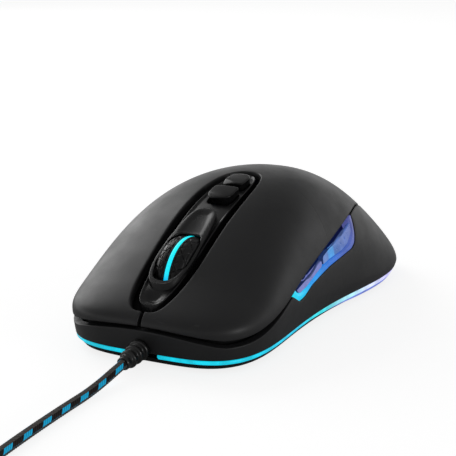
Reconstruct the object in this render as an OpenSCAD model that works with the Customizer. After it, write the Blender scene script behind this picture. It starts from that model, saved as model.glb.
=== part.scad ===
// Wired computer mouse with a lit rim, a lit wheel and a lit side panel.
// +Z is up. The nose and its cable point along -Y, and the thumb side is +X.
// The origin is on the desk, under the middle of the body. Lengths are in millimetres.

/* [Body] */
// Length of the body, nose to tail
body_len = 126; // [120:0.5:130]
// Half widths on the thumb side, from the nose to the tail
thumb_widths = [33, 29.5, 27, 27, 28.5, 31.5, 34.5, 35.5]; // [24:0.5:40]
// Half widths on the finger side, from the nose to the tail
finger_widths = [31.5, 30.5, 33, 33.5, 32.5, 32.5, 32.5, 33]; // [24:0.5:40]
// Heights of the spine, from the nose to the tail
spine_heights = [17.5, 21, 29, 36, 39, 38.5, 35, 28, 20.5]; // [14:0.5:42]
// Height of the hump round the slot
hump_rise = 2.3; // [0:0.1:2.5]
// Roundness of the nose in plan, where 2 is an ellipse
nose_power = 3.9; // [2.5:0.1:5]
// Roundness of the tail in plan, where 2 is an ellipse
tail_power = 2.8; // [2:0.1:4]
// Height of the shoulder, where the side starts to lean in, at the nose and at the tail
shoulder_z = [10.3, 4.9]; // [3:0.1:14]
// How far the crown falls at 32 mm from the spine, at the nose and at the tail
crown_fall = [3.7, 7.4]; // [2:0.1:10]
// Fullness of the skin in plan, at the nose and at the tail
plan_power = [4.7, 2.9]; // [2:0.1:6]
// Fullness of the skin in height, at the nose and at the tail
rise_power = [2.4, 1.55]; // [1.2:0.05:3]
// Thickness of the moulded skins
skin_t = 2; // [1.6:0.1:2.4]

/* [Seams] */
// Heights of the seam between the side frame and the top skin, from the nose to the tail
seam_heights = [7, 7, 10.8, 15.2, 18.6, 22, 24.8, 26.3, 23, 16, 8]; // [5:0.1:28]
// How far the seam rises in the middle of the nose
nose_rise = 2.6; // [0:0.1:4]
// Widest gap under a main button's lip
lip_gap = 1.8; // [1:0.1:2.2]
// Where the main buttons bend, along Y
hinge_y = -4; // [-8:0.5:-3]

/* [Slot and wheel] */
// Front and rear ends of the slot in the top skin
slot_y = [-60.8, -1.1]; // [-62:0.1:2]
// Half widths of the slot, front, middle and rear
slot_widths = [7.2, 7.8, 7.9]; // [5:0.1:10]
// Radius of the wheel over its tyres
wheel_r = 12; // [10:0.1:12.5]
// Half width of the wheel
wheel_half = 4.3; // [3.5:0.1:4.5]
// Wheel centre along Y
wheel_y = -38.1; // [-39:0.1:-37]
// Wheel centre above the desk
wheel_z = 15.6; // [15:0.1:17]

/* [Cable] */
// Diameter of the braided cable
cable_d = 2.4; // [2:0.1:3]
// Where the modelled cable is cut off, along Y
cable_end_y = -130; // [-160:1:-110]
// Height of the cable where it leaves the nose
cable_exit_z = 4.7; // [4:0.1:6]

/* [Hidden] */
half_len = body_len / 2;
cols = 60;            // columns of a skin, round the body
slack = 0.05;         // running clearance of small moving parts
floor_z = 0.7;        // underside of the case
floor_top = 2.3;
ring_z = [2.4, 3.6];  // lower and upper edge of the light ring
board_z = [4.6, 6.2]; // lower and upper face of the main board
black = "#1c1c1e";
dark = "#2a2a2c";

// ---- shape of the body ----
function clip(v, lo, hi) = min(max(v, lo), hi);
function mix(a, b, t) = a + (b - a) * t;
function ease(t) = let(c = clip(t, 0, 1)) c * c * (3 - 2 * c);
function along(y) = clip((y + half_len) / body_len, 0, 1);
function nose_to_tail(pair, y) = mix(pair[0], pair[1], ease(along(y)));
function spow(v, p) = sign(v) * pow(abs(v), p);

// smooth curve through a row of evenly spaced control values
function spline(c, u) =
    let(n = len(c), t = clip(u, 0, 1) * (n - 1), i = min(floor(t), n - 2), f = t - i,
        before = i == 0 ? 2 * c[0] - c[1] : c[i - 1],
        after = i + 2 < n ? c[i + 2] : 2 * c[n - 1] - c[n - 2])
    (pow(1 - f, 3) * before + (3 * pow(f, 3) - 6 * f * f + 4) * c[i]
     + (-3 * pow(f, 3) + 3 * f * f + 3 * f + 1) * c[i + 1] + pow(f, 3) * after) / 6;

function half_width(y, side) = spline(side > 0 ? thumb_widths : finger_widths, along(y));
function shoulder(y) = nose_to_tail(shoulder_z, y);
function hump(x, y) = hump_rise * exp(-pow(x / 18, 2) - pow((y + 36) / 20, 2));
function crown(x, y) =
    spline(spine_heights, along(y)) + hump(x, y) - nose_to_tail(crown_fall, y) * pow(x / 32, 2);

// point of the plan outline at angle a, shrunk to the fraction rho and set in by inset
function plan(a, rho, inset) =
    let(p = sin(a) < 0 ? nose_power : tail_power, y = rho * (half_len - inset) * spow(sin(a), 2 / p))
    [rho * (half_width(y, cos(a)) - inset) * spow(cos(a), 2 / p), y];

// point of the skin: v is -1 at the rim, 0 at the shoulder and 1 at the crown
function skin(a, v, inset) =
    let(edge = plan(a, 1, inset), y1 = edge[1], s = shoulder(y1))
    v <= 0
    ? let(k = 1 - 1.05 * pow(-v, 1.5) / norm(edge)) [edge[0] * k, y1 * k, s + v * (s - 3)]
    : let(rho = pow(max(cos(90 * v), 0), 2 / nose_to_tail(plan_power, y1)), q = plan(a, rho, inset),
          s2 = shoulder(q[1]))
      [q[0], q[1], s2 + (crown(q[0], q[1]) - inset - s2)
                        * pow(sin(90 * v), 2 / nose_to_tail(rise_power, y1))];

// skin parameter at a level height, below the shoulder
function level(a, z, inset) = let(s = shoulder(plan(a, 1, inset)[1])) -(s - z) / (s - 3);

// height of the seam, and of the gap above it, over a place in plan
function nose_bump(x, y) = max(0, 1 - pow(x / 22, 2)) * ease((-54 - y) / 8);
function seam(x, y) = spline(seam_heights, along(y)) + nose_rise * nose_bump(x, y);
function gap(x, y) =
    0.2 + 0.25 * ease((hinge_y - y) / 26) + (lip_gap - 0.45) * ease((-30 - y) / 20)
    * (1 - 0.6 * nose_bump(x, y));

// skin parameter where column a meets the seam, raised by the fraction lift of the gap plus extra
function seam_v(a, inset, lift, extra = 0, lo = -1, hi = 0.9, n = 14) =
    let(m = (lo + hi) / 2, q = skin(a, m, inset),
        over = q[2] > seam(q[0], q[1]) + lift * gap(q[0], q[1]) + extra)
    n == 0 ? m : seam_v(a, inset, lift, extra, over ? lo : m, over ? m : hi, n - 1);

// height of the skin over a place in plan, set in by depth
function top_z(x, y, depth) =
    let(p = y < 0 ? nose_power : tail_power, w = half_width(y, x),
        rho = clip(pow(pow(abs(x) / w, p) + pow(abs(y) / half_len, p), 1 / p), 0.0001, 0.9999),
        y1 = clip(y / rho, -half_len, half_len), n = nose_to_tail(plan_power, y1), s = shoulder(y))
    s + (crown(x, y) - s) * pow(1 - pow(rho, n), 1 / nose_to_tail(rise_power, y1)) - depth;

// outline of the slot, or of something inside it, between two ends and set in by inset
function slot_pt(a, ends, inset) =
    let(p = sin(a) < 0 ? 3.7 : 2.85,
        r = pow(pow(abs(sin(a)), p) + pow(abs(cos(a)), p), -1 / p),
        y = mix(ends[0], ends[1], 0.5 + 0.5 * r * sin(a)),
        w = spline(slot_widths, (y - slot_y[0]) / (slot_y[1] - slot_y[0])) - inset)
    [w * r * cos(a), y];
function slot_outline(ends, inset, n = 48) = [for (i = [0 : n - 1]) slot_pt(360 * i / n, ends, inset)];

// ---- solids from rings of points ----
function ring_faces(n, m, torus) =
    [for (j = [0 : torus ? m - 1 : m - 2]) for (i = [0 : n - 1])
        let(a = j * n + i, b = j * n + (i + 1) % n, up = ((j + 1) % m) * n,
            c = up + (i + 1) % n, d = up + i)
        each [[a, d, c], [a, c, b]]];

// rings follow each other up the outside, each turning anticlockwise seen from above
module torus_loft(rings) {
    n = len(rings[0]);
    polyhedron([for (r = rings) each r], ring_faces(n, len(rings), true));
}
module capped_loft(rings, foot, peak) {
    n = len(rings[0]);
    m = len(rings);
    bottom = [for (i = [0 : n - 1]) [n * m, i, (i + 1) % n]];
    top = [for (i = [0 : n - 1]) [n * m + 1, (m - 1) * n + (i + 1) % n, (m - 1) * n + i]];
    polyhedron(concat([for (r = rings) each r], [foot, peak]),
               concat(ring_faces(n, m, false), bottom, top));
}
// makes everything under it one mesh
module as_mesh() { resize([0, 0, 0]) children(); }

function turn(i) = 360 * i / cols;
function column_ring(f) = [for (i = [0 : cols - 1]) f(turn(i))];

// solid dome under the skin set in by inset, down to z
module dome(inset, z) {
    rows = [0, 0.2, 0.4, 0.6, 0.78, 0.9, 0.97];
    foot = column_ring(function(a) let(q = skin(a, -0.9, inset)) [q[0], q[1], z]);
    capped_loft(concat([foot], [for (v = rows) column_ring(function(a) skin(a, v, inset))]),
                [0, 0, z], [0, 0, crown(0, 0) - inset]);
}

// top skin: one shell from the crown down to the seam
module top_skin() {
    rows = [0, 0.1, 0.2, 0.3, 0.4, 0.5, 0.6, 0.7, 0.8, 0.88, 0.94, 0.98];
    side = function(a, f, inset) skin(a, mix(seam_v(a, inset, 1), 1, f), inset);
    inner = [for (j = [len(rows) - 1 : -1 : 0]) column_ring(function(a) side(a, rows[j], skin_t))];
    outer = [for (f = rows) column_ring(function(a) side(a, f, 0))];
    capped_loft(concat(inner, outer), [0, 0, crown(0, 0) - skin_t], [0, 0, crown(0, 0)]);
}

// closed band of the side wall between a level and the seam, from inset a to inset b
module side_band(z, out_inset, in_inset, lift = 0, extra = 0, n = 5) {
    pt = function(a, f, inset) skin(a, mix(level(a, z, inset), seam_v(a, inset, lift, extra), f), inset);
    outer = [for (j = [0 : n]) column_ring(function(a) pt(a, j / n, out_inset))];
    inner = [for (j = [n : -1 : 0]) column_ring(function(a) pt(a, j / n, in_inset))];
    torus_loft(concat(outer, inner));
}

// level band of the rim between two heights
module rim_band(z0, z1, out_inset, in_inset) {
    ring = function(z, inset) column_ring(function(a) skin(a, level(a, z, inset), inset));
    torus_loft([ring(z0, out_inset), ring(z1, out_inset), ring(z1, in_inset), ring(z0, in_inset)]);
}

module slot_hole(grow = 0) {
    linear_extrude(80) offset(grow) polygon(slot_outline(slot_y, 0));
}
module part_of(y0, y1, x0 = -60, x1 = 60) { translate([x0, y0, -5]) cube([x1 - x0, y1 - y0, 80]); }

// ---- places shared by parts ----
front_screws = [[-20.6, -47], [20.6, -47]];
rear_screws = [[-12, 34], [12, 34]];
board_posts = [[-13, 20], [13, 20]];
switch_x = 15.2;
switch_y = -48;
push_y = -44.5;          // where a main button pushes its switch
encoder_x = -12.2;
saddle_x = 10;
dpi_y = [-19.3, -9.9];  // centres of the two buttons behind the wheel
side_push_y = [-15, 4]; // where the side buttons push their switches
side_push_z = [16, 19.8];
side_board_x = 17.4;

// window in the thumb side, in (y, z)
window = [[-31, 13.4], [-26.7, 10.8], [-22.7, 11.2], [-17.7, 12.9], [-10.9, 14.1], [-5.3, 15.1],
          [2, 15.9], [9.7, 16.8], [13.3, 19.2], [16.4, 25.3], [11.3, 24.4], [1.9, 22.4],
          [-9.1, 19.5], [-19.9, 16.5], [-27, 14.7]];
front_key = [[-27.4, 13.9], [-25.4, 12.8], [-21, 13.4], [-15.6, 14.9], [-9.9, 16.3],
             [-9.5, 18.4], [-18, 15.9]];
rear_key = [[-9, 16.5], [-5.2, 17.1], [3.3, 17.7], [8, 18.8], [12.2, 21.4], [13, 23.6], [7, 22.6],
            [-1, 20.6], [-8.6, 18.6]];
module side_prism() {
    translate([18, 0, 0]) rotate([90, 0, 90]) linear_extrude(22) children();
}
module key_shape(points, out_inset, in_inset) {
    intersection() {
        side_band(8, out_inset, in_inset, 0, 1.5);
        side_prism() polygon(points);
    }
}

// ---- shells ----
module bottom_case() color(dark) as_mesh() difference() {
    union() {
        ring = function(z, inset) column_ring(function(a) skin(a, level(a, 3, inset), inset)
                                              + [0, 0, z - 3]);
        capped_loft([ring(floor_z, 2.4), ring(1.1, 1.6), ring(floor_top, 0.9)],
                    [0, 0, floor_z], [0, 0, floor_top]);
        difference() {
            rim_band(floor_top - 0.2, 4.4, 3.9, 5.2);
            part_of(-70, -50, -4, 4);
        }
        for (p = board_posts) translate([p[0], p[1], floor_top - 0.2])
            cylinder(r = 2, h = board_z[0] - floor_top + 0.2, $fn = 24);
    }
    for (p = concat(front_screws, rear_screws)) translate([p[0], p[1], 0]) {
        cylinder(r = 1.2, h = 8, $fn = 24);
        cylinder(r = 2.3, h = 1.7, $fn = 24);
        translate([0, 0, 3.2]) cylinder(r = 2.6, h = 3, $fn = 24);
    }
    for (p = board_posts) translate([p[0], p[1], 1.4]) cylinder(r = 0.85, h = 8, $fn = 20);
    translate([0, 0, -1]) linear_extrude(1.9) {
        offset(0.15) foot_shape(front_foot_ends);
        offset(0.15) foot_shape(rear_foot_ends);
        offset(delta = 0.15) foot_ring();
    }
    translate([-4, -3.5, -1]) cube([8, 7, 6]);
}
// low-friction feet: a bar across each end of the case, and a ring round the sensor's opening
front_foot_ends = [-55, -49];
rear_foot_ends = [42, 51];
foot_reach = 14.5;
module foot_shape(ends) {
    hull() for (s = [-1, 1]) translate([s * foot_reach, (ends[0] + ends[1]) / 2])
        circle(r = (ends[1] - ends[0]) / 2, $fn = 40);
}
module foot_ring() {
    difference() {
        circle(r = 10, $fn = 64);
        circle(r = 7, $fn = 64);
    }
}
module foot() color(dark) linear_extrude(0.9) children();
module front_foot() foot() foot_shape(front_foot_ends);
module rear_foot() foot() foot_shape(rear_foot_ends);
module sensor_foot() foot() foot_ring();

module boss(p, top) translate([p[0], p[1], 3.65]) cylinder(r = 2.2, h = top - 3.65, $fn = 28);
module pilot(p) translate([p[0], p[1], 2]) cylinder(r = 1.05, h = 9, $fn = 20);

module side_frame() color(black) as_mesh() difference() {
    union() {
        side_band(3.7, 0, skin_t);
        intersection() {
            rim_band(2.45, 3.9, 0, 3);
            part_of(-70, -50, -4, 4);
        }
        intersection() {
            side_band(4.4, skin_t + 0.7, skin_t + 1.7, 1, 1.2);
            part_of(-70, -32);
        }
        intersection() {
            side_band(4, skin_t - 0.2, skin_t + 1.5, 0, -2, 2);
            part_of(-70, -32.5);
        }
        intersection() {
            rim_band(4.5, 5.6, 1, 6.5);
            for (p = front_screws) translate([p[0], p[1], 0]) cylinder(r = 6, h = 8, $fn = 28);
            part_of(-51, -43);
        }
        for (p = front_screws) boss(p, 8);
    }
    for (p = front_screws) pilot(p);
    part_of(-56, -40, -18.35, 18.35);
    for (lift = [0, 1.5]) translate([0, 0, lift]) side_prism() polygon(window);
    boot_axis() translate([0, 0, -8]) cylinder(r = 2.3, h = 14, $fn = 32);
}

module light_ring() color("cyan") as_mesh() difference() {
    rim_band(ring_z[0], ring_z[1], 0.15, 3.3);
    part_of(-70, -50, -4.4, 4.4);
}

module top_cover() color(black) as_mesh() difference() {
    union() {
        intersection() {
            top_skin();
            part_of(hinge_y + 0.12, 70);
        }
        intersection() {
            for (p = rear_screws) boss(p, 40);
            dome(1, 2);
        }
    }
    for (p = rear_screws) pilot(p);
    slot_hole();
}

// one main button; side is 1 for the thumb side
module main_button(side) color(black) as_mesh() difference() {
    union() {
        intersection() {
            top_skin();
            part_of(-70, hinge_y - 0.12, side > 0 ? 0.5 : -60, side > 0 ? 60 : -0.5);
        }
        intersection() {
            translate([side * switch_x, push_y, push_z]) cylinder(r = 1.6, h = 20, $fn = 24);
            dome(1, 2);
        }
    }
    slot_hole();
}
module left_button() main_button(1);
module right_button() main_button(-1);

// ---- centre trim, with the raised rim round the wheel ----
trim_y = [-57.8, -2.8];
trim_gap = 2.1;
pod_y = [-53.4, -26.5];
module draped(ends, inset, depth0, depth1, n = 40) {
    rows = [1, 0.85, 0.6, 0.3];
    mid = (ends[0] + ends[1]) / 2;
    pt = function(a, s, depth) let(q = slot_pt(a, ends, inset), y = mix(mid, q[1], s))
        [q[0] * s, y, top_z(q[0] * s, y, depth)];
    ring = function(s, depth) [for (i = [0 : n - 1]) pt(360 * i / n, s, depth)];
    capped_loft(concat([for (j = [3 : -1 : 0]) ring(rows[j], depth1)],
                       [for (j = [0 : 3]) ring(rows[j], depth0)]),
                [0, mid, top_z(0, mid, depth1)], [0, mid, top_z(0, mid, depth0)]);
}
wheel_hole = [9.8, 16.4];
module wheel_opening(grow = 0) translate([0, wheel_y - 5.9, -1]) linear_extrude(60)
    offset(2.6 + grow, $fn = 32) square([wheel_hole[0] - 5.2, wheel_hole[1] - 5.2], center = true);
module key_well(y, grow) linear_extrude(60) translate([0, y]) offset(1) square(
    [7.4 + 2 * grow - 2, (y < -15 ? 5.8 : 7.6) + 2 * grow - 2], center = true);
module center_trim() color(dark) as_mesh() difference() {
    union() {
        draped(trim_y, trim_gap, 0.5, 3.6);
        intersection() {
            draped([slot_y[0] + 2.4, slot_y[1] + 2.5], -2.5, 3.3, 4.6);
            dome(3.2, 2);
        }
        intersection() {
            draped(pod_y, trim_gap, -0.5, 3.6);
            wheel_opening(0.8);
        }
        draped([-37, pod_y[1]], trim_gap + 0.9, -0.2, 3);
    }
    wheel_opening();
    on_wheel_axis(0) cylinder(r = wheel_r + 0.7, h = wheel_hole[0] - 0.1, center = true, $fn = 60);
    for (y = dpi_y) key_well(y, 0.3);
}
module dpi_key(y) color(dark) as_mesh() union() {
    intersection() {
        draped(trim_y, 1.3, -1.1, 4.2);
        key_well(y, 0);
    }
    translate([0, y, dpi_push_z]) cylinder(r = 1.3, h = top_z(0, y, 3) - dpi_push_z, $fn = 24);
}
module dpi_front_button() dpi_key(dpi_y[0]);
module dpi_rear_button() dpi_key(dpi_y[1]);

// ---- wheel ----
hub_r = 9.8;
band_half = 0.65;
module on_wheel_axis(x) translate([x, wheel_y, wheel_z]) rotate([0, 90, 0]) children();
module wheel_hub() color("#303236") on_wheel_axis(0) difference() {
    union() {
        cylinder(r = hub_r - 0.8, h = 7, center = true, $fn = 64);
        cylinder(r = 2.6, h = 13, center = true, $fn = 48);
    }
    cylinder(r = 1.25, h = 20, center = true, $fn = 32);
    for (s = [-1, 1]) translate([0, 0, s * 3.5]) difference() {
        cylinder(r = hub_r - 2, h = 3, center = true, $fn = 64);
        cylinder(r = 3.6, h = 4, center = true, $fn = 48);
    }
}
module wheel_light_ring() color("cyan") on_wheel_axis(0) difference() {
    cylinder(r = wheel_r - 0.1, h = 2 * band_half, center = true, $fn = 96);
    cylinder(r = hub_r - 0.8, h = 4, center = true, $fn = 64);
}
module tyre(side) color("#141414") on_wheel_axis(0) mirror([0, 0, side > 0 ? 0 : 1])
    rotate_extrude($fn = 96) polygon([[hub_r - 0.8, band_half], [wheel_r, band_half],
        [wheel_r, wheel_half - 1.2], [wheel_r - 0.35, wheel_half - 0.4], [wheel_r - 1.2, wheel_half],
        [hub_r - 0.8, wheel_half]]);
module tyre_left() tyre(1);
module tyre_right() tyre(-1);
module wheel_axle() color("silver") on_wheel_axis(0) union() {
    translate([0, 0, encoder_x + 2.6]) cylinder(r = 1.25, h = saddle_x + 1.4 - encoder_x - 2.6, $fn = 32);
    translate([0, 0, encoder_x - 2.4]) cylinder(r = 1, h = 6, $fn = 6);
}
module encoder_rotor() color("ivory") on_wheel_axis(encoder_x) difference() {
    cylinder(r = 2.5, h = 5, center = true, $fn = 48);
    cylinder(r = 1.02, h = 8, center = true, $fn = 6);
}
module encoder_body() color("#1a5fa8") difference() {
    translate([encoder_x - 2.4, wheel_y - 3.3, board_z[1]]) cube([4.8, 9, wheel_z - board_z[1] + 3.6]);
    on_wheel_axis(encoder_x) cylinder(r = 2.59, h = 8, center = true, $fn = 48);
}
saddle_z = 12.3;
module axle_saddle() color("dimgray") difference() {
    translate([saddle_x - 1.3, wheel_y - 3, saddle_z]) cube([2.6, 6, 5]);
    on_wheel_axis(saddle_x) cylinder(r = 1.3, h = 8, center = true, $fn = 32);
}
module wheel_bracket() color(dark) for (s = [-1, 1])
    translate([saddle_x - 2, wheel_y + s * 4 - 0.8, board_z[1]]) cube([4, 1.6, 11]);

// ---- thumb side panel ----
module side_bezel() color("deepskyblue") as_mesh() difference() {
    intersection() {
        side_band(8, 0.1, 3.2, 0, -0.25);
        side_prism() offset(delta = -0.12) polygon(window);
    }
    for (lift = [0 : 3]) translate([0, 0, lift]) side_prism() offset(delta = -0.5) offset(delta = 0.8) {
        polygon(front_key);
        polygon(rear_key);
    }
}
module side_key(points, i) color("#8f9be0") as_mesh() union() {
    key_shape(points, -0.2, 2.6);
    side_push(i) cylinder(r = 0.85, h = 3, $fn = 24);
}
module side_push(i) translate([21.95, side_push_y[i], side_push_z[i]]) rotate([0, 90, 0]) children();
module side_front_button() side_key(front_key, 0);
module side_rear_button() side_key(rear_key, 1);

// ---- boards ----
module main_pcb() color("darkgreen") translate([0, 0, board_z[0]]) difference() {
    linear_extrude(board_z[1] - board_z[0]) difference() {
        polygon([[-18.1, -55], [18.1, -55], [18.1, -42], [21, -40], [21, 14], [16, 27], [-16, 27],
                 [-21, 14], [-21, -40], [-18.1, -42]]);
        translate([-5.6, -52.4]) square([11.2, 28]);
        translate([-3.2, -2.4]) square([6.4, 4.8]);
    }
    for (p = board_posts) translate([p[0], p[1], -1]) cylinder(r = 1.1, h = 5, $fn = 24);
}
module side_pcb() color("darkgreen") translate([side_board_x, -24, 8]) cube([1.2, 36, 15]);
dpi_board_z = 24.4;
module dpi_pcb() color("darkgreen") translate([-8, -23.5, dpi_board_z]) cube([16, 18.5, 1.2]);

// ---- switches: a case, and the plunger that a button pushes ----
click_z = board_z[1] + 6.5;
push_z = click_z + 0.7 + slack;
module click_switch(x) color("#17181a") difference() {
    translate([x - 2.9, switch_y - 6.4, board_z[1]]) cube([5.8, 12.8, 6.5]);
    translate([x - 0.6 - slack, push_y - 1.3 - slack, click_z - 2.5])
        cube([1.2 + 2 * slack, 2.6 + 2 * slack, 5]);
}
module click_plunger(x) color("white")
    translate([x - 0.6, push_y - 1.3, click_z - 1.8]) cube([1.2, 2.6, 2.5]);
module left_switch() click_switch(switch_x);
module right_switch() click_switch(-switch_x);
module left_plunger() click_plunger(switch_x);
module right_plunger() click_plunger(-switch_x);

// a small square key switch, its case from 0 up to h and its round plunger above it
module tact_case(size, h) difference() {
    translate([-size / 2, -size / 2, 0]) cube([size, size, h]);
    translate([0, 0, h - 1.6]) cylinder(r = size / 4 + slack, h = 4, $fn = 32);
}
module tact_plunger(size, h, rise) translate([0, 0, h - 1]) cylinder(r = size / 4, h = 1 + rise, $fn = 32);

middle_h = 4.6;
module middle_switch() color("#17181a") translate([saddle_x, wheel_y, board_z[1]]) tact_case(6, middle_h);
module middle_plunger() color("ivory") translate([saddle_x, wheel_y, board_z[1]])
    tact_plunger(6, middle_h, saddle_z - slack - board_z[1] - middle_h);

dpi_case_h = 3;
dpi_rise = 1;
dpi_push_z = dpi_board_z + 1.2 + dpi_case_h + dpi_rise;
module at_dpi(i) translate([0, dpi_y[i], dpi_board_z + 1.2]) children();
module dpi_switches() color("#17181a") for (i = [0, 1]) at_dpi(i) tact_case(6, dpi_case_h);
module dpi_front_plunger() color("ivory") at_dpi(0) tact_plunger(6, dpi_case_h, dpi_rise);
module dpi_rear_plunger() color("ivory") at_dpi(1) tact_plunger(6, dpi_case_h, dpi_rise);

side_case_h = 2.35;
module at_side(i) translate([side_board_x + 1.2, side_push_y[i], side_push_z[i]])
    rotate([0, 90, 0]) children();
module side_switches() color("#17181a") for (i = [0, 1]) at_side(i) tact_case(4.5, side_case_h);
module side_front_plunger() color("ivory") at_side(0) tact_plunger(4.5, side_case_h, 1);
module side_rear_plunger() color("ivory") at_side(1) tact_plunger(4.5, side_case_h, 1);

// ---- electronics ----
module sensor_chip() color("#101012") translate([-5, -7, board_z[1]]) cube([10, 14, 2.2]);
module sensor_lens() color("lightcyan") difference() {
    union() {
        translate([-8, -8, floor_top + 0.05]) cube([16, 16, 1.2]);
        translate([0, 0, floor_top + 1]) cylinder(r = 2, h = 2.2, $fn = 32);
    }
    translate([0, 0, -20.3]) sphere(r = 23, $fn = 64);
}
module controller_chip() color("#101012") translate([6, 10, board_z[1]]) cube([7, 7, 1]);
rim_led_places = [[-3.4, -53.7], [3.4, -53.7], [-19.5, -8], [19.5, -8], [-12, 25.5], [12, 25.5]];
module rim_leds() color("white") for (p = rim_led_places)
    translate([p[0] - 1.4, p[1] - 1.2, board_z[1]]) cube([2.8, 2.4, 1.4]);
module wheel_led() color("white") translate([-8.6, wheel_y - 1.4, board_z[1]]) cube([2, 2.8, 2.4]);
module side_leds() color("white") for (y = [-6, 10]) translate([side_board_x + 1.2, y - 1.4, 14])
    cube([1.2, 2.8, 2.4]);
module cable_connector() color("ivory") translate([-12, -52.2, board_z[1]]) cube([5.6, 4, 4.5]);

// ---- cable ----
cable_r = cable_d / 2;
exit_y = -60;
exit_slope = 0.158;
bend_y = exit_y - 17.5;
desk_y = bend_y - 2 * (cable_exit_z + 0.3 - exit_slope * 17.5 - cable_r - 0.02) / exit_slope;
function cable_z(y) =
    y > bend_y ? cable_exit_z + 0.3 + exit_slope * (y - exit_y)
    : let(t = clip((y - desk_y) / (bend_y - desk_y), 0, 1))
      cable_r + 0.02 + exit_slope * (bend_y - desk_y) / 2 * t * t;
function cable_x(y) = 0.001 * pow(min(y + 74, 0), 2);
function unit(v) = v / norm(v);
module sweep(path, r, sides) {
    n = len(path);
    rings = [for (i = [0 : n - 1])
        let(t = unit(path[min(i + 1, n - 1)] - path[max(i - 1, 0)]),
            u = unit(cross([0, 0, 1], t)), w = cross(t, u))
        [for (k = [0 : sides - 1]) path[i] + r * (cos(360 * k / sides) * u + sin(360 * k / sides) * w)]];
    capped_loft(rings, path[0], path[n - 1]);
}
module cable() color("#3a3a3a") sweep([for (y = [-57 : -3 : cable_end_y]) [cable_x(y), y, cable_z(y)]],
                                      cable_r, 16);
module cable_wires() color("firebrick") for (i = [0 : 3])
    sweep([for (t = [0 : 0.125 : 1])
        let(from = [(i - 1.5) * 0.55, -56.8, cable_z(-57)],
            to = [-11.1 + 1.3 * i, -50.2, board_z[1] + 4.8])
        [mix(from[0], to[0], ease(t)), mix(from[1], to[1], t),
         mix(from[2], to[2], t) + (2.2 + 0.6 * i) * sin(180 * t)]], 0.22, 8);
// local frame of the boot: +Z runs back into the body, from the outside face of the nose
module boot_axis() translate([0, -half_len + 0.6, cable_z(-half_len + 0.6)])
    rotate([-90 + atan(exit_slope), 0, 0]) children();
module cable_boot() color("#121212") boot_axis() rotate_extrude($fn = 48) polygon(concat(
    [[cable_r + slack, 5.2], [2.7, 5.2], [2.7, 4.1], [2.2, 4.1], [2.2, 0]],
    [for (i = [0 : 2]) each [[2.75 - 0.22 * i, -0.1 - 2.4 * i], [2.75 - 0.22 * i, -1.5 - 2.4 * i],
                             [2 - 0.1 * i, -1.8 - 2.4 * i], [2 - 0.1 * i, -2.4 - 2.4 * i]]],
    [[1.75, -8.2], [cable_r + slack, -8.2]]));

// ---- screws ----
module screw(head_r, head_h, r, length) union() {
    difference() {
        cylinder(r = head_r, h = head_h, $fn = 32);
        for (a = [0, 90]) rotate([0, 0, a]) translate([-head_r * 0.6, -0.2, -1])
            cube([head_r * 1.2, 0.4, 1.6]);
    }
    translate([0, 0, head_h - 0.1]) cylinder(r = r, h = length, $fn = 24);
}
module case_screws() color("silver") for (p = concat(front_screws, rear_screws))
    translate([p[0], p[1], 0.8]) screw(2, 0.9, 1, 6.8);
module pcb_screws() color("silver") for (p = board_posts)
    translate([p[0], p[1], board_z[1] + 1]) mirror([0, 0, 1]) screw(1.8, 1, 0.8, 4.6);

bottom_case();
side_frame();
light_ring();
top_cover();
left_button();
right_button();
center_trim();
dpi_front_button();
dpi_rear_button();
wheel_hub();
wheel_light_ring();
tyre_left();
tyre_right();
wheel_axle();
encoder_rotor();
encoder_body();
axle_saddle();
wheel_bracket();
side_bezel();
side_front_button();
side_rear_button();
main_pcb();
side_pcb();
dpi_pcb();
left_switch();
right_switch();
middle_switch();
side_switches();
dpi_switches();
left_plunger();
right_plunger();
middle_plunger();
side_front_plunger();
side_rear_plunger();
dpi_front_plunger();
dpi_rear_plunger();
sensor_chip();
sensor_lens();
controller_chip();
rim_leds();
wheel_led();
side_leds();
cable_connector();
cable_wires();
cable();
cable_boot();
front_foot();
rear_foot();
sensor_foot();
case_screws();
pcb_screws();
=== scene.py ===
"""Looks of a wired computer mouse with a lit rim, wheel and side panel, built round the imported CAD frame.
Shapes are worked out in millimetres from the same driving dimensions as the CAD, then stored in metres."""
import math

import bpy
import numpy as np
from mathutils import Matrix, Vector
from mathutils.geometry import delaunay_2d_cdt


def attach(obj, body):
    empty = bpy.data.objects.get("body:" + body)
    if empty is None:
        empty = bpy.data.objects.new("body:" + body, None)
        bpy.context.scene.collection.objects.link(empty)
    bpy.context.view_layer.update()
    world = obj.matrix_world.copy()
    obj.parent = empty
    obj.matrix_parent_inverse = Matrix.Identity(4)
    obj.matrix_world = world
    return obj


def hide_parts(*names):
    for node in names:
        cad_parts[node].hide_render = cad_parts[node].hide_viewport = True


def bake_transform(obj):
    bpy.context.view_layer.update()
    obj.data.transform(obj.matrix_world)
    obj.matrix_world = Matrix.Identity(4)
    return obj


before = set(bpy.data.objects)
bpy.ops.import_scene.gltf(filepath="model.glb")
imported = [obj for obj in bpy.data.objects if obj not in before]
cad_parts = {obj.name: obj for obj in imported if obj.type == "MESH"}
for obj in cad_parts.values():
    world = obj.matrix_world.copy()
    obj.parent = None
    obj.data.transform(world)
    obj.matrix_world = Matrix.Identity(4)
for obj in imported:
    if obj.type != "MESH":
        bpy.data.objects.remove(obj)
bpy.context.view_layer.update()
MM = 0.001
TAU = 2 * math.pi

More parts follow.
